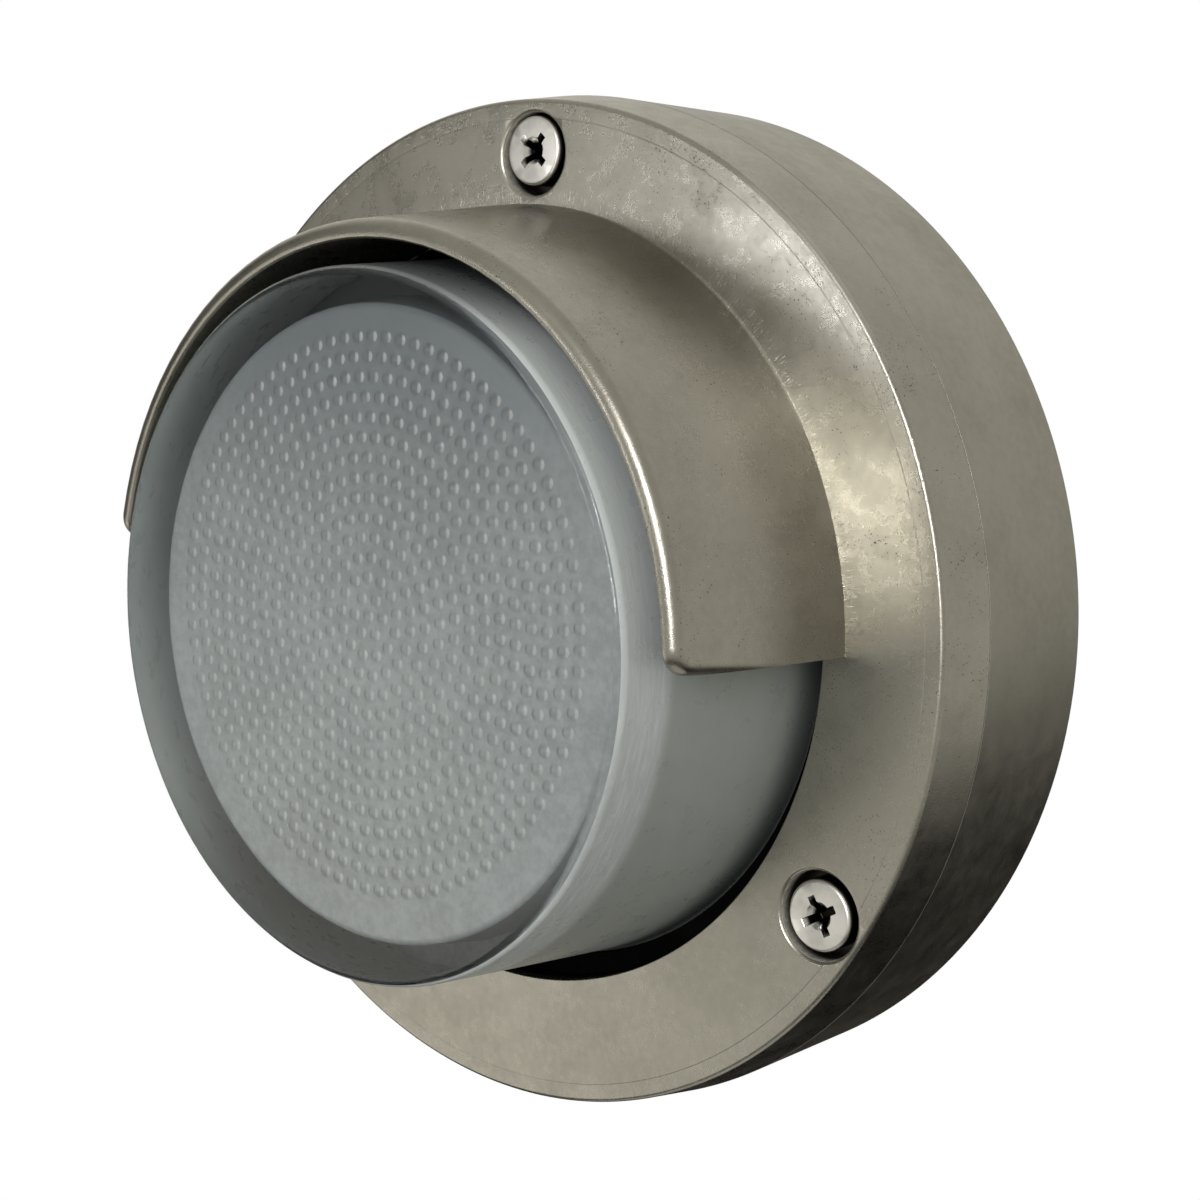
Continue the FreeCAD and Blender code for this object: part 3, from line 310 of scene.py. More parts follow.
def newGroup(name, inputs, outputs):
    group = bpy.data.node_groups.new(name, "ShaderNodeTree")
    kinds = {"Colour": "NodeSocketColor", "Vector": "NodeSocketVector", "Value": "NodeSocketFloat"}
    for label, kind, default in inputs:
        socket = group.interface.new_socket(name=label, in_out="INPUT", socket_type=kinds[kind])
        if default is not None:
            socket.default_value = default
    for label, kind in outputs:
        group.interface.new_socket(name=label, in_out="OUTPUT", socket_type=kinds[kind])
    start = group.nodes.new("NodeGroupInput")
    end = group.nodes.new("NodeGroupOutput")
    return group, {socket.name: socket for socket in start.outputs}, end


def useGroup(tree, group, **values):
    node = tree.nodes.new("ShaderNodeGroup")
    node.node_tree = group
    for label, value in values.items():
        feed(tree, value, node.inputs[label])
    return node.outputs


def newMaterial(name, **fixed):
    material = bpy.data.materials.new(name)
    material.use_nodes = True
    shader = material.node_tree.nodes["Principled BSDF"]
    for label, value in fixed.items():
        shader.inputs[label.replace("_", " ")].default_value = value
    return material, material.node_tree, shader


def makeCastSkin():
    # mottled cast surface with small dark pits that gather in patches
    look = {
        "clouds": 55.0, "specks": 900.0, "grit": 4600.0, "blotches": 240.0,
        "pits": 3500.0, "pitSize": 0.47, "patches": 120.0, "pitColour": (0.03, 0.027, 0.022, 1),
        "grainHeight": 0.00006, "blotchHeight": 0.00004, "pitHeight": 0.00005,
    }
    group, given, end = newGroup(
        "castSkin",
        [("Place", "Vector", None), ("Colour", "Colour", (0.5, 0.5, 0.5, 1)),
         ("Shade", "Colour", (0.3, 0.3, 0.3, 1)), ("Roughness", "Value", 0.4), ("Mottle", "Value", 0.5),
         ("Pits", "Value", 0.5), ("Grain", "Value", 0.5)],
        [("Colour", "Colour"), ("Roughness", "Value"), ("Normal", "Vector")])
    place = given["Place"]
    clouds = noise(group, place, look["clouds"], 5.0, 0.6)
    specks = noise(group, place, look["specks"], 2.0, 0.6)
    grit = noise(group, place, look["grit"], 2.0, 0.7)
    pit = cells(group, place, look["pits"])
    chance = parted(group, pit.outputs["Color"])
    size = times(group, chance[0], look["pitSize"])
    chosen = ranged(group, chance[1], 0.48, 0.52)
    patches = ranged(group, noise(group, place, look["patches"], 5.0, 0.7), 0.46, 0.64)
    wall = ranged(group, pit.outputs["Distance"], times(group, size, 0.5), size)
    hollow = times(group, minus(group, 1.0, wall), chosen, times(group, patches, given["Pits"]))
    mix = plus(group, times(group, clouds, 0.75), times(group, specks, 0.25))
    tone = ranged(group, mix, 0.35, 0.68)
    colour = blended(group, times(group, tone, given["Mottle"]), given["Colour"], given["Shade"])
    colour = blended(group, times(group, hollow, 0.92), colour, look["pitColour"])
    feed(group, colour, end.inputs["Colour"])
    blotches = noise(group, place, look["blotches"], 4.0, 0.6)
    rough = plus(group, given["Roughness"], times(group, minus(group, blotches, 0.5), 0.26))
    rough = plus(group, rough, times(group, minus(group, specks, 0.5), 0.10))
    feed(group, rough, end.inputs["Roughness"])
    height = plus(group, times(group, grit, 0.6), times(group, specks, 0.35))
    coarse = raised(group, blotches, given["Grain"], look["blotchHeight"])
    fine = raised(group, height, given["Grain"], look["grainHeight"], coarse)
    pitted = raised(group, minus(group, 1.0, hollow), 0.4, look["pitHeight"], fine)
    feed(group, pitted, end.inputs["Normal"])
    return group


def makeLatheLines():
    # fine rings that a lathe or a spinning tool leaves round the Y axis through a given middle
    look = {"smear": 180.0, "smearColour": (0.08, 0.08, 0.075, 1), "lineHeight": 0.00002}
    group, given, end = newGroup(
        "latheLines",
        [("Place", "Vector", None), ("Colour", "Colour", (0.6, 0.6, 0.6, 1)), ("Pitch", "Value", 2500.0),
         ("Depth", "Value", 0.4), ("Roughness", "Value", 0.3)],
        [("Colour", "Colour"), ("Roughness", "Value"), ("Normal", "Vector")])
    radius, across, up, forward = polar(group, given["Place"])
    lines = noise(group, vectorOf(group, radius, forward, 0.0), given["Pitch"], 2.0, 0.7)
    smear = ranged(group, noise(group, given["Place"], look["smear"], 3.0, 0.6), 0.4, 0.75)
    colour = blended(group, times(group, smear, 0.35), given["Colour"], look["smearColour"])
    feed(group, colour, end.inputs["Colour"])
    rough = plus(group, given["Roughness"], times(group, minus(group, lines, 0.5), 0.25))
    feed(group, rough, end.inputs["Roughness"])
    feed(group, raised(group, lines, given["Depth"], look["lineHeight"]), end.inputs["Normal"])
    return group


def makeMouldedSkin():
    # faint unevenness and dust of rubber, plastic and ceramic
    grainHeight = 0.00005
    group, given, end = newGroup(
        "mouldedSkin",
        [("Place", "Vector", None), ("Colour", "Colour", (0.1, 0.1, 0.1, 1)),
         ("Dust", "Colour", (0.3, 0.3, 0.3, 1)), ("Amount", "Value", 0.2), ("Scale", "Value", 600.0),
         ("Roughness", "Value", 0.6), ("Relief", "Value", 0.3)],
        [("Colour", "Colour"), ("Roughness", "Value"), ("Normal", "Vector")])
    clouds = noise(group, given["Place"], times(group, given["Scale"], 0.25), 4.0, 0.6)
    grain = noise(group, given["Place"], times(group, given["Scale"], 4.0), 2.0, 0.6)
    dusty = times(group, ranged(group, clouds, 0.42, 0.72), given["Amount"])
    feed(group, blended(group, dusty, given["Colour"], given["Dust"]), end.inputs["Colour"])
    rough = plus(group, given["Roughness"], times(group, minus(group, clouds, 0.5), 0.25))
    feed(group, rough, end.inputs["Roughness"])
    feed(group, raised(group, grain, given["Relief"], grainHeight), end.inputs["Normal"])
    return group


castSkin = makeCastSkin()
latheLines = makeLatheLines()
mouldedSkin = makeMouldedSkin()


def skinned(tree, shader, skin):
    # a finish group feeds the shader's colour, roughness and normal
    feed(tree, skin["Colour"], shader.inputs["Base Color"])
    feed(tree, skin["Roughness"], shader.inputs["Roughness"])
    feed(tree, skin["Normal"], shader.inputs["Normal"])


def makeFaceMetal():
    look = {
        "colour": (0.46, 0.44, 0.385, 1), "shade": (0.33, 0.315, 0.268, 1),
        "bright": (0.75, 0.73, 0.67, 1), "foot": (0.12, 0.115, 0.10, 1), "recessShade": (0.035, 0.032, 0.026, 1),
        "roughness": 0.29, "mottle": 0.55, "grain": 0.45,
        "hoodRoot": 51.0 * mm, "scratchReach": 1.7 * mm, "crease": 61.3 * mm,
        "facePlane": -28.2 * mm, "faceBack": -29.2 * mm, "faceFront": -28.9 * mm,
        "footStart": -31 * mm, "footEnd": -44 * mm,
        "holeTop": -27.6 * mm, "holeDark": -26.6 * mm, "holeReach": 62.9 * mm,
    }
    material, tree, shader = newMaterial("faceMetal", Metallic=1.0)
    place = objectPlace(tree)
    radius, across, up, forward = polar(tree, place)
    behind = ranged(tree, forward, look["facePlane"], look["facePlane"] + 0.2 * mm, 1.0, 0.0)
    onFace = times(tree, behind, ranged(tree, forward, look["faceBack"], look["faceFront"], 0.0, 1.0))
    # a painted highlight at the ring's upper right, and painted shade at the foot of the hood
    towardsPaintedHighlight = plus(tree, times(tree, across, 0.69), times(tree, up, 0.72))
    # painted highlight: the ring's upper right is painted in the bright colour
    paintedLight = times(tree, ranged(tree, towardsPaintedHighlight, 0.955, 0.995), onFace, 0.65)
    # painted shade: the hood's upper side is painted darker near its foot
    low = ranged(tree, forward, look["footEnd"], look["footStart"])
    offFace = ranged(tree, forward, look["faceBack"] - 0.2 * mm, look["faceBack"] + 0.2 * mm, 0.6, 0.0)
    shaded = times(tree, low, ranged(tree, up, 0.45, 0.85), offFace, ranged(tree, across, -0.3, 0.2))
    colour = blended(tree, shaded, blended(tree, paintedLight, look["colour"], look["bright"]), look["foot"])
    shade = blended(tree, shaded, blended(tree, paintedLight, look["shade"], look["colour"]), look["foot"])
    towardsPits = plus(tree, times(tree, across, 0.85), times(tree, up, 0.52))
    skin = useGroup(tree, castSkin, Place=place, Colour=colour, Shade=shade, Roughness=look["roughness"],
                    Mottle=look["mottle"], Pits=ranged(tree, towardsPits, 0.3, 0.9, 0.12, 1.0),
                    Grain=look["grain"])
    # short scratches that run outwards from the foot of the hood
    along = vectorOf(tree, times(tree, across, 0.0508), times(tree, radius, 0.12), times(tree, up, 0.0508))
    spokes = noise(tree, along, 6500.0, 2.0, 0.6)
    uneven = noise(tree, vectorOf(tree, across, 0.0, up), 60.0, 2.0, 0.7)
    beyond = minus(tree, radius, look["hoodRoot"])
    nearRoot = calc(tree, "LESS_THAN", beyond, times(tree, uneven, look["scratchReach"] * 2))
    rootZone = times(tree, nearRoot, ranged(tree, beyond, -0.4 * mm, 0.0), ranged(tree, up, 0.0, 0.15))
    scratch = times(tree, ranged(tree, spokes, 0.52, 0.78), rootZone, onFace)
    # rubbed band outside the faint ring near the edge
    rings = vectorOf(tree, times(tree, across, 0.02), radius, times(tree, up, 0.02))
    streaks = noise(tree, rings, 4200.0, 3.0, 0.7)
    outside = ranged(tree, radius, look["crease"] - 0.1 * mm, look["crease"] + 0.2 * mm)
    rubbed = times(tree, ranged(tree, streaks, 0.52, 0.80), times(tree, outside, onFace))
    marks = calc(tree, "MAXIMUM", times(tree, scratch, 0.8), times(tree, rubbed, 0.4))
    # painted shade: inside the edge, the metal darkens to black between about 1 mm and 2 mm behind the face,
    # deep in the screw holes and recesses
    inHole = calc(tree, "LESS_THAN", radius, look["holeReach"])
    deep = times(tree, ranged(tree, forward, look["holeTop"], look["holeDark"]), inHole)
    worn = blended(tree, marks, skin["Colour"], look["bright"])
    feed(tree, blended(tree, deep, worn, look["recessShade"]), shader.inputs["Base Color"])
    feed(tree, minus(tree, skin["Roughness"], times(tree, marks, 0.10)), shader.inputs["Roughness"])
    cut = raised(tree, plus(tree, scratch, rubbed), 0.35, 0.00003, skin["Normal"])
    feed(tree, cut, shader.inputs["Normal"])
    return material


def makeBoreWall():
    # the wall of a screw hole: dull as cast, and painted black towards its foot as shade deep in the hole
    look = {"colour": (0.62, 0.60, 0.54, 1), "shade": (0.40, 0.385, 0.34, 1),
            "recessShade": (0.01, 0.009, 0.008, 1), "grain": 1400.0, "grainHeight": 0.00005,
            "top": -28.1 * mm, "dark": -26.6 * mm}
    material, tree, shader = newMaterial("boreWall", Roughness=0.5)
    place = objectPlace(tree)
    grain = noise(tree, place, look["grain"], 3.0, 0.7)
    tone = blended(tree, ranged(tree, grain, 0.35, 0.65), look["colour"], look["shade"])
    depth = ranged(tree, parted(tree, place)[1], look["top"], look["dark"])
    feed(tree, blended(tree, depth, tone, look["recessShade"]), shader.inputs["Base Color"])
    feed(tree, raised(tree, grain, 0.5, look["grainHeight"]), shader.inputs["Normal"])
    return material


def makeBoxMetal():
    look = {"colour": (0.41, 0.393, 0.340, 1), "shade": (0.30, 0.286, 0.243, 1), "roughness": 0.38,
            "mottle": 0.6, "pits": 0.1, "grain": 0.42}
    material, tree, shader = newMaterial("boxMetal", Metallic=1.0)
    skinned(tree, shader, useGroup(
        tree, castSkin, Place=objectPlace(tree), Colour=look["colour"], Shade=look["shade"],
        Roughness=look["roughness"], Mottle=look["mottle"], Pits=look["pits"], Grain=look["grain"]))
    return material


def makeTurnedMetal(name, colour, roughness, pitch, depth, centre=(0, 0, 0), top=None):
    # where a top is given, the head is painted dark as shade in its cross recess and on its side, from just
    # below the top down to the foot of the screw's head
    look = {"recessShade": (0.014, 0.013, 0.011, 1), "paintedLight": 0.35 * mm, "shadeFullDepth": 0.85 * mm,
            "headEnd": 3.2 * mm, "shankStart": 3.5 * mm}
    material, tree, shader = newMaterial(name, Metallic=1.0)
    middle = tree.nodes.new("ShaderNodeMapping")
    middle.inputs["Location"].default_value = [-part * mm for part in centre]
    feed(tree, objectPlace(tree), middle.inputs["Vector"])
    skin = useGroup(tree, latheLines, Place=middle.outputs[0], Colour=colour, Pitch=pitch, Depth=depth,
                    Roughness=roughness)
    skinned(tree, shader, skin)
    if top is not None:
        below = plus(tree, parted(tree, middle.outputs[0])[1], top * mm)
        onHead = ranged(tree, below, look["headEnd"], look["shankStart"], 1.0, 0.0)
        # painted shade on the head, growing with depth below its top
        headShade = times(tree, ranged(tree, below, look["paintedLight"], look["shadeFullDepth"]), onHead)
        feed(tree, blended(tree, headShade, skin["Colour"], look["recessShade"]), shader.inputs["Base Color"])
    return material


def makeMoulded(name, colour, dust, amount, scale, roughness, relief, **fixed):
    material, tree, shader = newMaterial(name, **fixed)
    skinned(tree, shader, useGroup(
        tree, mouldedSkin, Place=objectPlace(tree), Colour=colour, Dust=dust, Amount=amount,
        Scale=scale, Roughness=roughness, Relief=relief))
    return material


def makeClearGlass(name, colour, ripple, roughness=0.02, drawnFrom=1.0):
    # pressed glass: clear, with the faint waviness that the mould leaves, and drawn rings outside a radius
    look = {"waves": 70.0, "haze": 240.0, "rings": 1500.0, "waveHeight": 0.0004, "ringHeight": 0.00012}
    material, tree, shader = newMaterial(name, IOR=1.5, Transmission_Weight=1.0)
    place = objectPlace(tree)
    waves = noise(tree, place, look["waves"], 2.0, 0.5)
    haze = noise(tree, place, look["haze"], 4.0, 0.6)
    hazed = [part * 0.93 for part in colour[:3]] + [1]
    feed(tree, blended(tree, ranged(tree, haze, 0.3, 0.8), colour, hazed), shader.inputs["Base Color"])
    rough = plus(tree, roughness, times(tree, ranged(tree, haze, 0.55, 0.8), 0.05))
    feed(tree, rough, shader.inputs["Roughness"])
    radius, across, up, forward = polar(tree, place)
    along = vectorOf(tree, times(tree, across, 0.006), radius, times(tree, up, 0.006))
    rings = noise(tree, along, look["rings"], 3.0, 0.6)
    drawn = times(tree, rings, ranged(tree, radius, drawnFrom, drawnFrom + 1.5 * mm))
    wavy = raised(tree, waves, ripple, look["waveHeight"])
    feed(tree, raised(tree, drawn, 0.5, look["ringHeight"], wavy), shader.inputs["Normal"])
    return material


def makeGlassSide():
    # the outside of the cup's wall: satin, and paler in front where the glass is solid; shade and light are
    # painted onto it as marked below
    look = {
        "solid": (0.56, 0.60, 0.61, 1), "streak": (0.68, 0.72, 0.73, 1), "wall": (0.37, 0.40, 0.385, 1),
        "root": (0.10, 0.11, 0.108, 1), "underHood": (0.66, 0.705, 0.72, 1), "upper": (0.05, 0.058, 0.062, 1),
        "fromInside": (0.95, 1.0, 1.0, 1), "insideLow": (0.18, 0.20, 0.20, 1),
        "wallEnd": -48.8 * mm, "solidEnd": -51.0 * mm, "rootEnd": -31.0 * mm, "rootStart": -23.5 * mm,
        "streaks": 1700.0, "clouds": 300.0, "streakHeight": 0.0001,
    }
    material, tree, shader = newMaterial("glassSide", IOR=1.5, Transmission_Weight=0.06)
    place = objectPlace(tree)
    radius, across, up, forward = polar(tree, place)
    along = vectorOf(tree, times(tree, across, 0.006), forward, times(tree, up, 0.006))
    drawn = noise(tree, along, look["streaks"], 4.0, 0.65)
    clouds = noise(tree, place, look["clouds"], 4.0, 0.6)
    front = ranged(tree, forward, look["wallEnd"], look["solidEnd"])
    tone = blended(tree, times(tree, ranged(tree, clouds, 0.3, 0.7), 0.12), look["wall"], look["solid"])
    # painted shade: the wall darkens towards its root, deep under the hood
    tone = blended(tree, ranged(tree, forward, look["rootEnd"], look["rootStart"]), tone, look["root"])
    pale = blended(tree, ranged(tree, drawn, 0.4, 0.7), look["solid"], look["streak"])
    # painted light: the pale front band is painted lighter on its upper side, under the hood
    pale = blended(tree, ranged(tree, up, -0.25, 0.30), pale, look["underHood"])
    shadow = ranged(tree, up, 0.80, 0.995, 0.0, 0.8)
    outside = blended(tree, shadow, blended(tree, front, tone, pale), look["upper"])
    # seen from within the glass, the wall is painted nearly white as painted light, with painted shade
    # towards the bottom
    inside = blended(tree, ranged(tree, up, -0.5, -0.95), look["fromInside"], look["insideLow"])
    back = tree.nodes.new("ShaderNodeNewGeometry").outputs["Backfacing"]
    feed(tree, blended(tree, back, outside, inside), shader.inputs["Base Color"])
    feed(tree, ranged(tree, clouds, 0.3, 0.7, 0.26, 0.36), shader.inputs["Roughness"])
    streaked = raised(tree, times(tree, drawn, front), 0.5, look["streakHeight"])
    feed(tree, streaked, shader.inputs["Normal"])
    return material


def makeStippledGlass():
    # the inside of the cup: dulled by the mould, with a painted highlight on each dimple's right flank,
    # painted shade on its left one, and painted shade towards the top
    look = {
        "colour": (0.78, 0.815, 0.83, 1), "shade": (0.58, 0.61, 0.625, 1), "top": (0.40, 0.43, 0.455, 1),
        "bright": (1.0, 1.0, 1.0, 1), "dark": (0.33, 0.35, 0.36, 1), "topStart": 5 * mm, "topEnd": 38 * mm,
        "frost": 900.0, "clouds": 60.0, "frostHeight": 0.00004,
    }
    material, tree, shader = newMaterial("stippledGlass", IOR=1.5, Transmission_Weight=0.08,
                                         Specular_IOR_Level=0.7)
    place = objectPlace(tree)
    frost = noise(tree, place, look["frost"], 4.0, 0.65)
    clouds = noise(tree, place, look["clouds"], 3.0, 0.6)
    mottle = plus(tree, times(tree, clouds, 0.4), times(tree, frost, 0.6))
    tone = blended(tree, ranged(tree, mottle, 0.32, 0.68), look["colour"], look["shade"])
    # painted shade: the disc darkens towards the top, under the hood
    height = ranged(tree, parted(tree, place)[2], look["topStart"], look["topEnd"])
    tone = blended(tree, height, tone, look["top"])
    # painted highlight on the right-facing flanks, painted shade on the left-facing ones
    flank = tree.nodes.new("ShaderNodeAttribute")
    flank.attribute_name = "flank"
    slope = flank.outputs["Fac"]
    tone = blended(tree, ranged(tree, slope, 0.38, 0.80), tone, look["bright"])
    tone = blended(tree, ranged(tree, slope, -0.95, -0.35, 0.6, 0.0), tone, look["dark"])
    feed(tree, tone, shader.inputs["Base Color"])
    feed(tree, ranged(tree, frost, 0.3, 0.7, 0.18, 0.26), shader.inputs["Roughness"])
    feed(tree, raised(tree, frost, 0.3, look["frostHeight"]), shader.inputs["Normal"])
    return material


faceMetal = makeFaceMetal()
boreWall = makeBoreWall()
boxMetal = makeBoxMetal()
lensClear = makeClearGlass("lensClear", (0.92, 0.96, 0.96, 1), 0.08, 0.05, 40.0 * mm)
lensSide = makeGlassSide()
lensStippled = makeStippledGlass()
lampGlass = makeClearGlass("lampGlass", (0.97, 0.98, 1.0, 1), 0.03)
blackRubber = makeMoulded("blackRubber", (0.0015, 0.0015, 0.0015, 1), (0.006, 0.006, 0.0055, 1),
                          0.5, 500.0, 0.8, 0.5, Specular_IOR_Level=0.03)
greyRubber = makeMoulded("greyRubber", (0.035, 0.035, 0.036, 1), (0.10, 0.10, 0.095, 1),
                         0.4, 700.0, 0.55, 0.4)
ceramic = makeMoulded("ceramic", (0.80, 0.77, 0.70, 1), (0.58, 0.54, 0.47, 1), 0.5, 500.0, 0.55, 0.35)
blockPlastic = makeMoulded("blockPlastic", (0.78, 0.78, 0.74, 1), (0.60, 0.59, 0.54, 1),
                           0.4, 400.0, 0.42, 0.15)
leadSleeve = makeMoulded("leadSleeve", (0.72, 0.71, 0.66, 1), (0.50, 0.48, 0.43, 1), 0.5, 800.0, 0.5, 0.25)
zincSheet = makeMoulded("zincSheet", (0.55, 0.56, 0.57, 1), (0.38, 0.39, 0.40, 1),
                        0.9, 300.0, 0.33, 0.2, Metallic=1.0)
zincScrew = makeMoulded("zincScrew", (0.62, 0.61, 0.56, 1), (0.42, 0.40, 0.34, 1),
                        0.7, 900.0, 0.30, 0.2, Metallic=1.0)
brass = makeMoulded("brass", (0.78, 0.57, 0.25, 1), (0.48, 0.33, 0.13, 1),
                    0.6, 700.0, 0.30, 0.2, Metallic=1.0)
drawnWire = makeMoulded("drawnWire", (0.60, 0.60, 0.60, 1), (0.40, 0.40, 0.41, 1),
                        0.6, 1500.0, 0.25, 0.2, Metallic=1.0)
tungsten = makeMoulded("tungsten", (0.30, 0.30, 0.31, 1), (0.18, 0.18, 0.19, 1),
                       0.6, 2500.0, 0.38, 0.3, Metallic=1.0)
spunAluminium = makeTurnedMetal("spunAluminium", (0.86, 0.86, 0.85, 1), 0.20, 2600.0, 0.35)
print("materials made")

screwCircle, screwAngles = 57.3, (90, -30, 210)
clampCircle, clampAngles = 56.5, (-90, 30, 150)


def makeHoodedFace():
    size = {
        "bore": 47.85, "edge": 63.5, "edgeRound": 0.55, "seam": 64.69, "skirtInside": 61.7,
        "front": 28.7, "back": 24.7, "seamLine": 20.7, "crease": 61.25, "fall": 0.03,
        "screwBoss": 6.4, "counterbore": 5.3, "topBore": 5.1, "topShift": (0.1, -0.4), "seat": 25.3,
        "shankHole": 2.8, "clampBoss": 3.6, "clampFoot": 18.7, "clampTap": 1.56, "tapEnd": 23.6,
        "bossTop": 26, "gasketRecess": 51.5, "cutFrom": 16, "cutTo": 30,
    }
    front, crease, fall = size["front"], size["crease"], size["fall"]
    ring = turned([
        (size["bore"], front, 0.12), (crease - 0.12, front, 0), (crease, front - fall * 1.5, 0.05),
        (crease + 0.14, front - fall, 0), (size["edge"], front - fall * 1.4, size["edgeRound"]),
        (size["seam"], size["seamLine"], 0.15), (size["skirtInside"], size["seamLine"], 0.3),
        (size["skirtInside"], size["back"], 1.0), (size["bore"], size["back"], 0.2)], steps=240)
    screwBoss = rods((size["screwBoss"], size["seamLine"], size["bossTop"]))
    clampBoss = rods((size["clampBoss"], size["clampFoot"], size["bossTop"]))
    bosses = joined(around(screwBoss, screwCircle, screwAngles), around(clampBoss, clampCircle, clampAngles))
    ring = combined(ring, bosses, "UNION")
    recess = rods((size["gasketRecess"], size["cutFrom"], size["back"] + 0.01), steps=240)
    ring = combined(ring, recess, "DIFFERENCE")
    # a screw hole's worn rim, in steps outwards from the hole and forward of the face
    wornRim = ((0, -0.44), (0.04, -0.3), (0.14, -0.18), (0.32, -0.07), (0.5, 0.02))
    holes = []
    for bore in (size["counterbore"], size["topBore"]):
        shank = [(0, size["cutFrom"], 0), (size["shankHole"], size["cutFrom"], 0),
                 (size["shankHole"], size["seat"], 0), (bore, size["seat"], 0)]
        rim = [(bore + out, front + rise, 0) for out, rise in wornRim]
        clearance = [(bore + wornRim[-1][0], size["cutTo"], 0), (0, size["cutTo"], 0)]
        holes.append(turned(shank + rim + clearance, steps=72, closed=False))
    top = moved(holes[1], size["topShift"][0], 0, screwCircle + size["topShift"][1])
    others = around(holes[0], screwCircle, screwAngles[1:])
    taps = around(rods((size["clampTap"], size["cutFrom"], size["tapEnd"])), clampCircle, clampAngles)
    ring = combined(ring, joined(top, others, taps), "DIFFERENCE")
    bm = combined(ring, makeHood(), "UNION")
    middles = [Vector((screwCircle * cos(radians(angle)), screwCircle * sin(radians(angle))))
               for angle in screwAngles]
    for face in bm.faces:
        spot = face.calc_center_median() / mm
        nearest = min((Vector((spot.x, spot.z)) - middle).length for middle in middles)
        if nearest < size["counterbore"] + 0.3 and size["seat"] + 0.01 < -spot.y < front - 0.3:
            face.material_index = 1
    return bm


def makeHood():
    size = {
        "innerRoot": 48.05, "innerRim": 45.4, "outerRim": 47.7, "outerRoot": 50.97,
        "root": 27.7, "front": 55.0, "leftEnd": 173.5, "sweep": 171.5, "steps": 44,
        "corner": 3.0, "outerRound": 1.55, "innerRound": 0.55,
    }
    bm = bmesh.new()
    section = [(size["innerRoot"], size["root"]), (size["innerRim"], size["front"]),
               (size["outerRim"], size["front"]), (size["outerRoot"], size["root"])]
    start = radians(size["leftEnd"])
    points = [bm.verts.new((reach * mm * cos(start), -forward * mm, reach * mm * sin(start)))
              for reach, forward in section]
    for first, second in zip(points, points[1:] + points[:1]):
        bm.edges.new((first, second))
    spun(bm, size["sweep"], size["steps"], merge=False)
    bmesh.ops.holes_fill(bm, edges=[edge for edge in bm.edges if edge.is_boundary], sides=0)
    bmesh.ops.recalc_face_normals(bm, faces=bm.faces[:])
    frontLine = -(size["front"] - 0.01) * mm

    def radial(edge):
        reach = [Vector((vert.co.x, vert.co.z)).length for vert in edge.verts]
        return abs(reach[0] - reach[1]) > 1 * mm

    def inFront(edge):
        return all(vert.co.y < frontLine for vert in edge.verts)

    def rimEdges(outside):
        chosen = []
        for edge in bm.edges:
            middle = (edge.verts[0].co + edge.verts[1].co) / 2
            share = (-middle.y / mm - size["root"]) / (size["front"] - size["root"])
            outer = size["outerRoot"] + (size["outerRim"] - size["outerRoot"]) * share
            inner = size["innerRoot"] + (size["innerRim"] - size["innerRoot"]) * share
            reach = Vector((middle.x, middle.z)).length / mm
            isOutside = abs(reach - outer) < abs(reach - inner)
            sharp = edge.calc_face_angle() > radians(50) and not radial(edge)
            if sharp and isOutside == outside and -middle.y > (size["root"] + 0.1) * mm:
                chosen.append(edge)
        return chosen

    corners = [edge for edge in bm.edges
               if inFront(edge) and radial(edge) and edge.calc_face_angle() > radians(60)]
    bevelled(bm, corners, size["corner"], 9)
    bevelled(bm, rimEdges(True), size["outerRound"], 6)
    bevelled(bm, rimEdges(False), size["innerRound"], 3)
    return bm


placed("hoodedFaceCasting", makeHoodedFace(), "face", ["hooded_face"], "face_casting", faceMetal, boreWall)
print("hooded face made")


def makeDimple(size):
    # an arc spun into a shallow cap that bulges into the hollow; flank says how far a side faces right, for
    # the painted highlight and shade
    bm = bmesh.new()
    arc = [bm.verts.new((size["dimple"] * part * mm, -size["depth"] * (1 + cos(pi * part)) / 2 * mm, 0))
           for part in size["arc"]]
    for first, second in zip(arc, arc[1:]):
        bm.edges.new((first, second))
    spun(bm, 360, size["dimpleSides"])
    bmesh.ops.remove_doubles(bm, verts=bm.verts[:], dist=0.0001 * mm)
    flank = bm.verts.layers.float.new("flank")
    for vert in bm.verts:
        reach = Vector((vert.co.x, vert.co.z)).length / (size["dimple"] * mm)
        if reach > 0.01:
            vert[flank] = sin(pi * reach ** 2) * vert.co.x / (reach * size["dimple"] * mm)
    mesh = bpy.data.meshes.new("dimple")
    bm.to_mesh(mesh)
    bm.free()
    return mesh


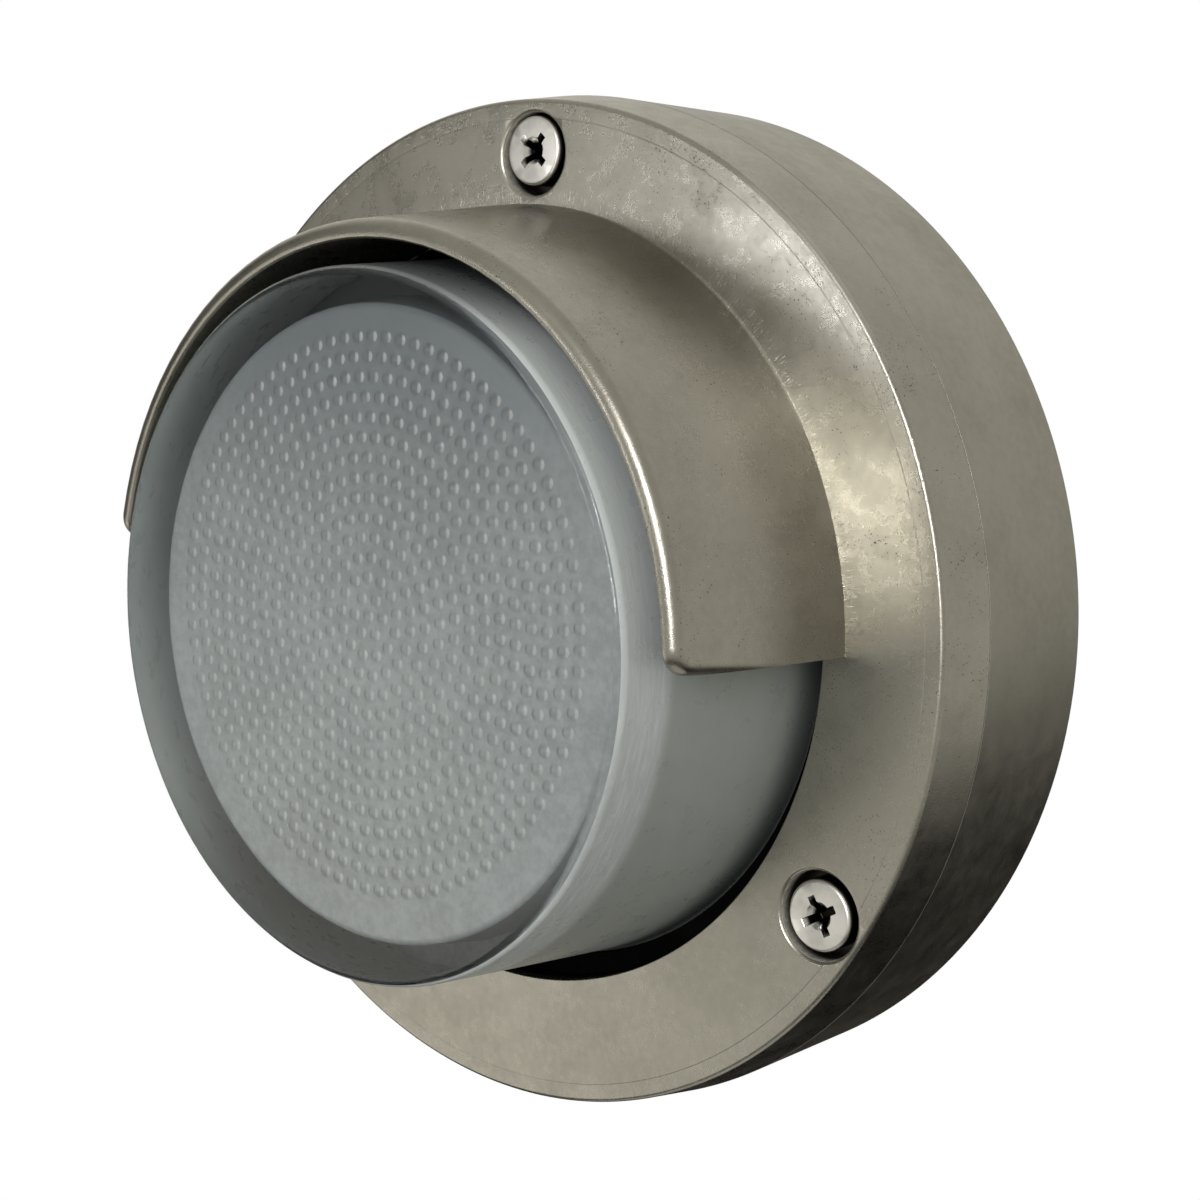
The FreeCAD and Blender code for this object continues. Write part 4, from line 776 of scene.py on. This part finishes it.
def makeLens():
    size = {
        "frontRadius": 42.35, "front": 57.5, "corner": 1.2, "rootRadius": 44.9, "flangeFront": 23.7,
        "flangeRadius": 50.4, "flangeBack": 19.7, "mouth": 40.5, "hollow": 38.15, "hollowDepth": 49.5,
        "hollowRound": 0.8, "ringPitch": 2.36, "rings": 14, "ringTurn": 0.17, "ringShift": (-0.4, 1.2),
        "dimple": 1.05, "depth": 0.46, "dimpleSides": 12, "arc": (1, 0.8, 0.6, 0.3, 0), "clearTo": 57.2,
    }
    bm = turned([
        (0, size["front"], 0), (size["frontRadius"], size["front"], size["corner"]),
        (size["rootRadius"], size["flangeFront"], 0.6), (size["flangeRadius"], size["flangeFront"], 0.3),
        (size["flangeRadius"], size["flangeBack"], 0.3), (size["mouth"], size["flangeBack"], 0.6),
        (size["hollow"], size["hollowDepth"], size["hollowRound"]), (0, size["hollowDepth"], 0)],
        closed=False, rounds=8)
    plane = -size["hollowDepth"] * mm
    flat = [face for face in bm.faces if all(abs(vert.co.y - plane) < 0.001 * mm for vert in face.verts)]
    bmesh.ops.delete(bm, geom=flat, context="FACES")
    bm.verts.layers.float.new("flank")
    dimple = makeDimple(size)
    last = Vector((0, 0, 0))
    for ring in range(size["rings"] + 1):
        count = max(1, round(2 * pi * ring))
        for number in range(count):
            turn = 2 * pi * (number / count + size["ringTurn"] * ring)
            spot = Vector((size["ringShift"][0] + ring * size["ringPitch"] * cos(turn), -size["hollowDepth"],
                           size["ringShift"][1] + ring * size["ringPitch"] * sin(turn)))
            dimple.transform(Matrix.Translation((spot - last) * mm))
            last = spot
            bm.from_mesh(dimple)
    bpy.data.meshes.remove(dimple)
    openEdges = [edge for edge in bm.edges if edge.is_boundary]
    bmesh.ops.triangle_fill(bm, edges=openEdges, use_beauty=True, use_dissolve=False, normal=(0, 1, 0))
    bmesh.ops.recalc_face_normals(bm, faces=bm.faces[:])
    for face in bm.faces:
        middle = face.calc_center_median()
        reach = Vector((middle.x, middle.z)).length / mm
        forward = -middle.y / mm
        inside = forward < size["hollowDepth"] + 0.5 and reach < size["mouth"] + 0.01
        if inside or forward < size["flangeFront"] - 0.05:
            face.material_index = 1
        elif forward <= size["clearTo"]:
            face.material_index = 2
    return bm


def makeGlassSeal():
    size = {"inside": 45.2, "outside": 51.4, "foot": 46.4, "flangeRadius": 50.4,
            "front": 24.7, "flangeFront": 23.7, "flangeBack": 19.7, "back": 18.7}
    return turned([
        (size["inside"], size["front"], 0.25), (size["outside"], size["front"], 0.2),
        (size["outside"], size["back"], 0.2), (size["foot"], size["back"], 0.2),
        (size["foot"], size["flangeBack"], 0.1), (size["flangeRadius"], size["flangeBack"], 0.05),
        (size["flangeRadius"], size["flangeFront"], 0.05), (size["inside"], size["flangeFront"], 0.25)])


placed("glassCup", makeLens(), "face", ["lens"], "lens_glass", lensClear, lensStippled, lensSide, smooth=35)
placed("glassSeal", makeGlassSeal(), "face", ["lens_gasket"], "gasket_rubber", blackRubber)
print("glass cup made")


def threaded(radius, root, pitch, near, far):
    # corners of a threaded shank from its tip up to its neck
    corners = [(0, near, 0), (root - 0.1, near, 0)]
    forward = near + pitch
    while forward + pitch < far:
        crest = [(radius, forward + pitch * 0.42, 0), (radius, forward + pitch * 0.58, 0)]
        corners += [(root, forward, 0)] + crest
        forward += pitch
    return corners + [(root, forward, 0)]


def makeCrossCutter(size):
    arms = []
    for turn in (0, 90):
        bm = block(size["span"] + 0.3, -size["deep"], 0.2, size["arm"])
        deepEnd = [vert for vert in bm.verts if vert.co.y > 0]
        bmesh.ops.scale(bm, vec=(0.5, 1, 0.7), verts=deepEnd)
        arms.append(moved(bm, spin=turn))
    bm = combined(arms[0], arms[1], "UNION")
    point = rods((size["pointEnd"], -size["point"], 0.2), steps=32, farRadius=size["middle"])
    return combined(bm, point, "UNION")


def makeFaceScrew(turn):
    size = {
        "top": 28.6, "head": 4.25, "seat": 25.3, "rim": 0.45, "thread": 2.5, "root": 2.02, "pitch": 0.8,
        "tip": 9.3, "neck": 0.6, "span": 4.8, "arm": 1.0, "deep": 2.3, "middle": 1.85, "point": 1.5,
        "pointEnd": 0.4, "edge": 0.05,
    }
    shank = threaded(size["thread"], size["root"], size["pitch"], size["tip"], size["seat"] - size["neck"])
    bm = turned(shank + [
        (size["root"] + 0.15, size["seat"], 0), (size["head"], size["seat"], 0.15),
        (size["head"], size["top"], size["rim"]), (0, size["top"], 0)], steps=64, closed=False, rounds=4)
    cross = moved(makeCrossCutter(size), 0, size["top"], 0, turn)
    return eased(combined(bm, cross, "DIFFERENCE"), size["edge"], angle=50, segments=1)


screwLook = {"colour": (0.93, 0.91, 0.87, 1), "roughness": 0.30, "pitch": 5000.0, "depth": 0.25, "top": 28.6}
for side, angle, turn in zip(("top", "right", "left"), screwAngles, (40, -32, 50)):
    middle = (screwCircle * cos(radians(angle)), 0, screwCircle * sin(radians(angle)))
    steel = makeTurnedMetal(f"{side}ScrewSteel", screwLook["colour"], screwLook["roughness"],
                            screwLook["pitch"], screwLook["depth"], middle, screwLook["top"])
    placed(f"{side}FaceScrew", onCircle(makeFaceScrew(turn), screwCircle, angle), f"screw_{side}",
           [f"face_screw_{side}"], "face_screw_steel", steel)
print("face screws made")


def makeBackBox():
    size = {
        "outside": 64.69, "inside": 60.7, "rim": 20.66, "floor": 3.0, "boss": 4.9, "tap": 2.56, "tapEnd": 7.8,
        "seatInside": 62.3, "seatOutside": 63.7, "seat": 19.3, "sealInside": 56.2, "step": 1.5,
        "fixing": 44.45, "fixingPad": 6.0, "fixingHole": 2.6, "foot": 23.0, "footBoss": 4.0, "smallTap": 1.56,
        "padTop": 4.0, "bossTop": 4.5, "blockUp": -31.0, "blockPad": (18, 14), "entryUp": -47.0, "entry": 6.0,
        "entryRecess": 8.05, "cutTo": 6,
    }
    rim, floor, step, cutTo = size["rim"], size["floor"], size["step"], size["cutTo"]
    fixing, foot = size["fixing"], size["foot"]
    bm = turned([
        (0, 0, 0), (size["sealInside"], 0, 0), (size["sealInside"], step, 0), (size["seatInside"], step, 0),
        (size["seatInside"], 0, 0), (size["outside"], 0, 0.5), (size["outside"], rim, 0.06),
        (size["seatOutside"], rim, 0), (size["seatOutside"], size["seat"], 0),
        (size["seatInside"], size["seat"], 0), (size["seatInside"], rim, 0), (size["inside"], rim, 0.2),
        (size["inside"], floor, 1.6), (0, floor, 0)], steps=240, closed=False)
    boss = rods((size["boss"] + 0.25, step, rim), farRadius=size["boss"])
    lowBosses = []
    for radius, top, reach in ((size["fixingPad"], size["padTop"], fixing),
                               (size["footBoss"], size["bossTop"], foot)):
        lowBosses += [(radius, step, top, -reach), (radius, step, top, reach)]
    width, height = size["blockPad"]
    pads = joined(around(boss, screwCircle, screwAngles), rods(*lowBosses),
                  block(width, step, size["bossTop"], height, 0, size["blockUp"], 0.3, 2))
    bm = combined(bm, pads, "UNION")
    entry = turned([
        (0, -1, 0), (size["entryRecess"], -1, 0), (size["entryRecess"], step, 0), (size["entry"], step, 0),
        (size["entry"], cutTo, 0), (0, cutTo, 0)], steps=64, closed=False)
    holes = joined(
        around(rods((size["tap"], size["tapEnd"], 22)), screwCircle, screwAngles),
        rods((size["fixingHole"], -1, cutTo, -fixing), (size["fixingHole"], -1, cutTo, fixing),
             (size["smallTap"], step - 0.05, cutTo, -foot), (size["smallTap"], step - 0.05, cutTo, foot),
             (size["smallTap"], 2.0, cutTo, 0, size["blockUp"])),
        moved(entry, up=size["entryUp"]))
    return combined(bm, holes, "DIFFERENCE")


def makeFlatSeal(size):
    # a flat ring, with one rounding on its back and another on its front edges
    back, front, backRound, frontRound = size["back"], size["front"], size["backRound"], size["frontRound"]
    return turned([(size["inside"], back, backRound), (size["outside"], back, backRound),
                   (size["outside"], front, frontRound), (size["inside"], front, frontRound)])


def makeGrommet():
    size = {"bore": 3.5, "lip": 8, "waist": 5.95, "back": 0.05, "waistBack": 1.5, "waistFront": 3,
            "front": 4.5, "up": -47}
    bore, lip, waist = size["bore"], size["lip"], size["waist"]
    ring = turned([
        (bore, size["back"], 0.4), (lip, size["back"], 0.5), (lip, size["waistBack"], 0.1),
        (waist, size["waistBack"], 0.05), (waist, size["waistFront"], 0.05), (lip, size["waistFront"], 0.1),
        (lip, size["front"], 0.6), (bore, size["front"], 0.4)], steps=72)
    return moved(ring, up=size["up"])


wallSeal = {"inside": 56.25, "outside": 62.25, "back": 0, "front": 1.5,
            "backRound": 0.15, "frontRound": 0.1}
boxSeal = {"inside": 62.35, "outside": 63.65, "back": 19.3, "front": 20.65,
           "backRound": 0.1, "frontRound": 0.4}
placed("boxCasting", makeBackBox(), "housing", ["back_box"], "box_casting", boxMetal)
placed("wallSeal", makeFlatSeal(wallSeal), "housing", ["wall_gasket"], "gasket_rubber", blackRubber)
placed("boxSeal", makeFlatSeal(boxSeal), "housing", ["box_gasket"], "gasket_rubber", blackRubber)
placed("cableGrommet", makeGrommet(), "housing", ["entry_grommet"], "grommet_rubber", greyRubber)
print("box made")

panHead = {"head": 2.8, "height": 2.2, "thread": 1.5, "pitch": 0.5, "slot": 0.9, "slotDepth": 1.0}
smallPanHead = {"head": 2.2, "height": 1.6, "thread": 1.25, "pitch": 0.45, "slot": 0.7, "slotDepth": 0.8}


def panScrew(size, length):
    # a slotted screw that looks forward, with its seat at forward 0
    head, height, thread = size["head"], size["height"], size["thread"]
    bm = turned(threaded(thread, thread * 0.8, size["pitch"], -length, -0.3) + [
        (thread * 0.85, 0, 0), (head, 0, 0.1), (head, height, height * 0.5), (0, height, 0)],
        steps=32, closed=False, rounds=4)
    groove = block(head * 2.2, height - size["slotDepth"], height + 1, size["slot"])
    return combined(bm, groove, "DIFFERENCE")


def makeBracket():
    size = {
        "foot": 30.0, "leg": 16.0, "base": 4.5, "front": 15.7, "sheet": 1.0, "width": 14.0, "bend": 1.2,
        "footHole": (1.7, 23), "wireHole": 5.0, "holderHole": (1.4, 8), "edge": 0.12,
    }
    bm = bmesh.new()
    leg = size["leg"] - size["sheet"] / 2
    low, high = size["base"] + size["sheet"] / 2, size["front"] - size["sheet"] / 2
    path = [(-size["foot"], low), (-leg, low), (-leg, high), (leg, high), (leg, low), (size["foot"], low)]
    points = [bm.verts.new((across * mm, -forward * mm, -size["width"] / 2 * mm)) for across, forward in path]
    for first, second in zip(points, points[1:]):
        bm.edges.new((first, second))
    bevelled(bm, points[1:-1], size["bend"], 5, "VERTICES")
    strip = bmesh.ops.extrude_edge_only(bm, edges=bm.edges[:])
    lifted = [item for item in strip["geom"] if isinstance(item, bmesh.types.BMVert)]
    bmesh.ops.translate(bm, verts=lifted, vec=(0, 0, size["width"] * mm))
    bmesh.ops.recalc_face_normals(bm, faces=bm.faces[:])
    bmesh.ops.solidify(bm, geom=bm.faces[:], thickness=size["sheet"] * mm)
    bmesh.ops.recalc_face_normals(bm, faces=bm.faces[:])
    centre = -(min(vert.co.y for vert in bm.verts) + max(vert.co.y for vert in bm.verts)) / 2 / mm
    moved(bm, forward=(size["base"] + size["front"]) / 2 - centre)
    footHole, footReach = size["footHole"]
    holderHole, holderReach = size["holderHole"]
    holes = rods((footHole, 0, 10, -footReach), (footHole, 0, 10, footReach), (size["wireHole"], 10, 20, 0),
                 (holderHole, 10, 20, -holderReach), (holderHole, 10, 20, holderReach), steps=40)
    return eased(combined(bm, holes, "DIFFERENCE"), size["edge"], angle=60, segments=2)


def makeReflector():
    size = {"bore": 5.0, "flat": 23.0, "flatFront": 22.8, "rim": 38.0, "back": 15.7, "front": 16.5,
            "rimBack": 20.7, "rimFront": 21.5, "hole": (1.4, 8)}
    bowl = turned([
        (size["bore"], size["back"], 0), (size["flat"], size["back"], 0), (size["rim"], size["rimBack"], 0.3),
        (size["rim"], size["rimFront"], 0.3), (size["flatFront"], size["front"], 2.0),
        (size["bore"], size["front"], 0.2)])
    hole, reach = size["hole"]
    return combined(bowl, rods((hole, 10, 20, -reach), (hole, 10, 20, reach), steps=40), "DIFFERENCE")


bracketScrews = joined(*[moved(panScrew(panHead, 4), across, 5.5, 0, turn)
                         for across, turn in ((-23, 20), (23, 65))])
placed("bracketStrip", makeBracket(), "housing", ["lamp_bracket"], "plated_steel", zincSheet)
placed("bracketScrewPair", bracketScrews, "housing", ["bracket_screws"], "zinc_screws", zincScrew)
placed("spunReflector", makeReflector(), "housing", ["reflector"], "reflector_aluminium", spunAluminium)


def makeHolder():
    size = {
        "length": 23.0, "width": 12.0, "back": 6.7, "front": 14.7, "nose": 4.8, "tip": 16.5, "edge": 0.35,
        "socket": 0.95, "socketFoot": 9.0, "mouth": 1.3, "mouthFrom": 16.1, "mouthTo": 16.7, "pin": 2,
        "lead": 1.1, "leadDepth": 7, "leadAcross": 3, "leadForward": 9.5, "leadUp": -6, "screw": (1.4, 8),
    }
    bm = block(size["length"], size["back"], size["front"], size["width"])
    upright = [edge for edge in bm.edges if abs(edge.verts[0].co.y - edge.verts[1].co.y) > 1 * mm]
    bevelled(bm, upright, size["width"] / 2 - 0.02, 14)
    bm = eased(bm, size["edge"], angle=60, segments=3)
    nose = turned([(0, 14, 0), (size["nose"], 14, 0), (size["nose"], size["tip"], 0.4), (0, size["tip"], 0)],
                  steps=64, closed=False, rounds=3)
    bm = combined(bm, nose, "UNION")
    socket = [(0, size["socketFoot"], 0), (size["socket"], size["socketFoot"], 0),
              (size["socket"], size["mouthFrom"], 0), (size["mouth"], size["mouthTo"], 0),
              (0, size["mouthTo"], 0)]
    mouths = [moved(turned(socket, steps=32, closed=False), side * size["pin"]) for side in (-1, 1)]
    leads = bmesh.new()
    for side in (-1, 1):
        uprightBar(leads, size["lead"], size["leadDepth"], side * size["leadAcross"], size["leadForward"],
                   size["leadUp"], 32)
    hole, reach = size["screw"]
    screwHoles = rods((hole, 5, 20, -reach), (hole, 5, 20, reach), steps=32)
    return combined(bm, joined(screwHoles, leads, *mouths), "DIFFERENCE")


def makeContacts():
    size = {"inside": 0.42, "outside": 0.92, "foot": 9.4, "top": 15.9, "pin": 2}
    tube = [(size["inside"], size["foot"], 0), (size["outside"], size["foot"], 0.05),
            (size["outside"], size["top"], 0.15), (size["inside"], size["top"], 0.2)]
    return joined(*[moved(turned(tube, steps=28, rounds=3), side * size["pin"]) for side in (-1, 1)])


holderScrews = joined(*[moved(panScrew(smallPanHead, 12.2), side * 8, 16.5, 0, turn)
                        for side, turn in ((-1, 35), (1, -10))])
placed("ceramicHolder", makeHolder(), "housing", ["lamp_holder"], "holder_ceramic", ceramic)
placed("contactPair", makeContacts(), "housing", ["holder_contacts"], "contact_brass", brass)
placed("holderScrewPair", holderScrews, "housing", ["holder_screws"], "zinc_screws", zincScrew)


def makeTerminalBlock():
    size = {
        "width": 18, "height": 14, "up": -31.0, "back": 4.5, "front": 14.5, "edge": 0.5, "axis": 9.5,
        "pole": 5.0, "bore": 2.45, "well": 1.6, "wellUp": 3.2, "fixing": 1.7, "fixingHead": 2.86,
        "fixingSeat": 12.2, "cutFrom": 4, "cutTo": 16,
    }
    bm = block(size["width"], size["back"], size["front"], size["height"], 0, size["up"], size["edge"], 3)
    bores = bmesh.new()
    wells = []
    for side in (-1, 1):
        uprightBar(bores, size["bore"], 20, side * size["pole"], size["axis"], size["up"], 40)
        for end in (-1, 1):
            wells.append((size["well"], size["axis"], size["cutTo"], side * size["pole"],
                          size["up"] + end * size["wellUp"]))
    bm = combined(bm, bores, "DIFFERENCE")
    bm = combined(bm, rods(*wells, steps=32), "DIFFERENCE")
    cutFrom, cutTo, seat = size["cutFrom"], size["cutTo"], size["fixingSeat"]
    fixing = turned([
        (0, cutFrom, 0), (size["fixing"], cutFrom, 0), (size["fixing"], seat, 0),
        (size["fixingHead"], seat, 0), (size["fixingHead"], cutTo, 0), (0, cutTo, 0)], steps=40, closed=False)
    return combined(bm, moved(fixing, up=size["up"]), "DIFFERENCE")


blockScrew = moved(panScrew(panHead, 9.2), 0, 12.2, -31, 30)
placed("terminalHousing", makeTerminalBlock(), "housing", ["terminal_block"], "block_plastic", blockPlastic)
placed("terminalFixing", blockScrew, "housing", ["block_screw"], "zinc_screws", zincScrew)


def makeLead(side):
    # from inside the holder to inside the block, by the same corners as the solid
    size = {"radius": 1.0, "forward": 9.5, "route": ((3.0, -2.5), (3.0, -9.5), (5.0, -20.5), (5.0, -29.2))}
    route = [(side * across, size["forward"], up) for across, up in size["route"]]
    return tubeAlong(route, size["radius"], 5, smooth=True)


for side, word in ((-1, "left"), (1, "right")):
    placed(f"{word}Lead", makeLead(side), "housing", [f"lead_{word}"], "lead_sleeve", leadSleeve)


def makeLamp():
    size = {"seat": 16.8, "shoulder": 23.3, "tip": 40.8, "radius": 4.75, "wall": 0.9, "neck": 3.2,
            "pinch": (8.4, 3.2, 0.6), "nib": (0.9, 0.45)}
    seat, shoulder, tip, radius = size["seat"], size["shoulder"], size["tip"], size["radius"]
    outer = turned([
        (0, shoulder - 0.3, 0), (size["neck"], shoulder - 0.3, 0), (radius, shoulder + 1.6, 1.2),
        (radius, tip - 0.5, 4.0), (size["nib"][0], tip - 0.5, 0), (size["nib"][1], tip, 0.1), (0, tip, 0)],
        steps=64, closed=False, rounds=8)
    width, height, edge = size["pinch"]
    outer = combined(outer, block(width, seat, shoulder + 1.2, height, 0, 0, edge, 3), "UNION")
    inside = radius - size["wall"]
    inner = turned([
        (0, shoulder + 1.4, 0), (inside, shoulder + 1.4, 1.0), (inside, tip - 1.9, 3.0), (0, tip - 1.9, 0)],
        steps=64, closed=False, rounds=6)
    return combined(outer, inner, "DIFFERENCE")


def makePins():
    size = {"radius": 0.35, "foot": 9.8, "top": 25.3, "pin": 2}
    bar = [(0, size["foot"], 0), (size["radius"], size["foot"], 0.15), (size["radius"], size["top"], 0.1),
           (0, size["top"], 0)]
    return joined(*[moved(turned(bar, steps=20, closed=False, rounds=3), side * size["pin"])
                    for side in (-1, 1)])


def makeFilament():
    size = {"height": 28.3, "coil": 0.45, "wire": 0.09, "turns": 11, "stepsPerTurn": 12, "half": 1.75,
            "pinTop": 25.3, "pin": 2.0, "leg": 28.1}
    steps = size["turns"] * size["stepsPerTurn"]
    coil = [(-size["pin"], size["pinTop"], 0), (-size["pin"], size["leg"], 0)]
    for step in range(steps + 1):
        turn = 2 * pi * step / size["stepsPerTurn"]
        coil.append((size["half"] * (2 * step / steps - 1), size["height"] + size["coil"] * cos(turn),
                     size["coil"] * sin(turn)))
    coil += [(size["pin"], size["leg"], 0), (size["pin"], size["pinTop"], 0)]
    return tubeAlong(coil, size["wire"], 2)


placed("lampBulb", makeLamp(), "lamp", ["lamp_capsule"], "lamp_glass", lampGlass)
placed("lampPinPair", makePins(), "lamp", ["lamp_pins"], "pin_metal", drawnWire)
placed("filamentCoil", makeFilament(), "lamp", ["lamp_filament"], "filament_metal", tungsten)


def makeClampRing():
    size = {"inside": 46.4, "outside": 51.3, "back": 17.5, "front": 18.7, "edge": 0.1, "ear": 3.5,
            "earLength": 6.4, "hole": 1.7}
    back, front = size["back"], size["front"]
    band = turned([(size["inside"], back, size["edge"]), (size["outside"], back, size["edge"]),
                   (size["outside"], front, size["edge"]), (size["inside"], front, size["edge"])])
    root = block(size["ear"] * 2, back, front, size["earLength"], 0, size["earLength"] / 2)
    ear = moved(combined(rods((size["ear"], back, front)), root, "UNION"), up=-clampCircle)
    ears = joined(*[moved(ear.copy(), spin=turn) for turn in (0, 120, 240)])
    ear.free()
    bm = combined(band, ears, "UNION")
    return combined(bm, around(rods((size["hole"], 15, 20)), clampCircle, clampAngles), "DIFFERENCE")


def backwardScrew(turn):
    bm = panScrew(panHead, 6)
    bmesh.ops.rotate(bm, verts=bm.verts[:], cent=(0, 0, 0), matrix=Matrix.Rotation(pi, 3, "Z"))
    return moved(bm, 0, 17.5, 0, turn)


clampScrews = joined(*[onCircle(backwardScrew(turn), clampCircle, angle)
                       for angle, turn in zip(clampAngles, (10, 75, 40))])
placed("glassClamp", makeClampRing(), "face", ["clamp_ring"], "plated_steel", zincSheet)
placed("clampScrewSet", clampScrews, "face", ["clamp_screws"], "zinc_screws", zincScrew)

cadFinishes = {"holder_nuts": zincScrew, "terminal_barrels": brass, "terminal_screws": zincScrew}
for node, material in cadFinishes.items():
    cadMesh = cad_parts[node].data
    cadMesh.materials.clear()
    cadMesh.materials.append(material)
print("inner pieces made")


def makeStage():
    floor = bpy.data.objects.new("floor", bpy.data.meshes.new("floor"))
    bm = bmesh.new()
    bmesh.ops.create_circle(bm, cap_ends=True, cap_tris=False, segments=96, radius=0.5,
                            matrix=Matrix.Translation((0, -0.1, -1.0)))
    bm.to_mesh(floor.data)
    bm.free()
    scene.collection.objects.link(floor)
    material, tree, shader = newMaterial("paleFloor", Roughness=0.9)
    cloud = ranged(tree, noise(tree, objectPlace(tree), 6.0, 2.0), 0.2, 0.8)
    tone = blended(tree, cloud, (0.86, 0.86, 0.86, 1), (0.80, 0.80, 0.80, 1))
    feed(tree, tone, shader.inputs["Base Color"])
    white = tree.nodes.new("ShaderNodeEmission")
    white.inputs["Strength"].default_value = 1.0
    mix = tree.nodes.new("ShaderNodeMixShader")
    path = tree.nodes.new("ShaderNodeLightPath")
    feed(tree, times(tree, path.outputs["Is Camera Ray"], 0.7), mix.inputs[0])
    feed(tree, shader.outputs[0], mix.inputs[1])
    feed(tree, white.outputs[0], mix.inputs[2])
    feed(tree, mix.outputs[0], tree.nodes["Material Output"].inputs["Surface"])
    floor.data.materials.append(material)


def makeWorld():
    # a grey room that is darker low behind the light, and white behind it where the camera looks
    base = 0.46
    patches = (
        ((0.05, 0, -1), 0.45, 0.80, 0.03),
        ((-0.75, -0.55, -0.45), 0.93, 0.99, 1.1),
        ((-0.73, -0.683, 0.03), 0.975, 0.995, 0.24),
        ((-0.97, -0.2, 0.1), 0.80, 0.97, 0.10),
        ((0.6, 0.75, 0.2), 0.5, 0.95, 0.53),
        ((-0.5, 0.8, 0.4), 0.5, 0.95, 0.70),
        ((-0.1, 0.62, -0.78), 0.50, 0.80, 0.01),
    )
    whiteWall = ((-0.655, 0.752, -0.06), 0.96, 0.985)
    world = bpy.data.worlds.new("room")
    scene.world = world
    world.use_nodes = True
    tree = world.node_tree
    bearing = tree.nodes.new("ShaderNodeTexCoord").outputs["Generated"]

    def towards(direction, low, high):
        node = tree.nodes.new("ShaderNodeVectorMath")
        node.operation = "DOT_PRODUCT"
        feed(tree, bearing, node.inputs[0])
        node.inputs[1].default_value = Vector(direction).normalized()
        return ranged(tree, node.outputs["Value"], low, high)

    def toned(level):
        return (level, level * 0.975, level * 0.89, 1)

    grey = toned(base)
    for direction, low, high, level in patches:
        grey = blended(tree, towards(direction, low, high), grey, toned(level))
    room = tree.nodes["Background"]
    feed(tree, grey, room.inputs["Color"])
    white = tree.nodes.new("ShaderNodeBackground")
    white.inputs["Color"].default_value = (1, 1, 1, 1)
    path = tree.nodes.new("ShaderNodeLightPath")
    secondary = calc(tree, "MAXIMUM", path.outputs["Is Glossy Ray"], path.outputs["Is Transmission Ray"])
    shiny = times(tree, secondary, towards(*whiteWall))
    mix = tree.nodes.new("ShaderNodeMixShader")
    feed(tree, calc(tree, "MAXIMUM", path.outputs["Is Camera Ray"], shiny), mix.inputs[0])
    feed(tree, room.outputs[0], mix.inputs[1])
    feed(tree, white.outputs[0], mix.inputs[2])
    feed(tree, mix.outputs[0], tree.nodes["World Output"].inputs["Surface"])


def addLamp(name, place, aim, width, height, power):
    light = bpy.data.lights.new(name, "AREA")
    light.shape = "RECTANGLE"
    light.size = width
    light.size_y = height
    light.energy = power
    lamp = bpy.data.objects.new(name, light)
    lamp.location = place
    lamp.rotation_euler = (Vector(aim) - Vector(place)).to_track_quat("-Z", "Y").to_euler()
    scene.collection.objects.link(lamp)


def makeLights():
    aim = (0, -0.03, 0)
    addLamp("leftBox", (-0.525, -0.85, 0.035), aim, 0.14, 0.20, 0.33)
    addLamp("frontBox", (0.30, -0.90, 0.30), aim, 0.32, 0.62, 1.4)
    addLamp("frontStrip", (0.33, -0.92, 0.22), aim, 0.08, 0.42, 2.2)


def makeCamera():
    view = {"place": (177.5, -221.3, 43.0), "azimuth": 40.2289, "elevation": 8.9774, "roll": 2.8817,
            "lens": 62.34}
    camera = bpy.data.objects.new("camera", bpy.data.cameras.new("camera"))
    camera.data.lens = view["lens"]
    camera.data.sensor_width = 36
    camera.data.clip_start = 0.01
    azimuth = Matrix.Rotation(radians(view["azimuth"]), 4, "Z")
    elevation = Matrix.Rotation(radians(90 - view["elevation"]), 4, "X")
    roll = Matrix.Rotation(radians(view["roll"]), 4, "Z")
    spot = Matrix.Translation([part * mm for part in view["place"]])
    camera.matrix_world = spot @ azimuth @ elevation @ roll
    scene.collection.objects.link(camera)
    scene.camera = camera


makeStage()
makeWorld()
makeLights()
makeCamera()
scene.view_settings.view_transform = "Standard"
print("stage, lights and camera made")
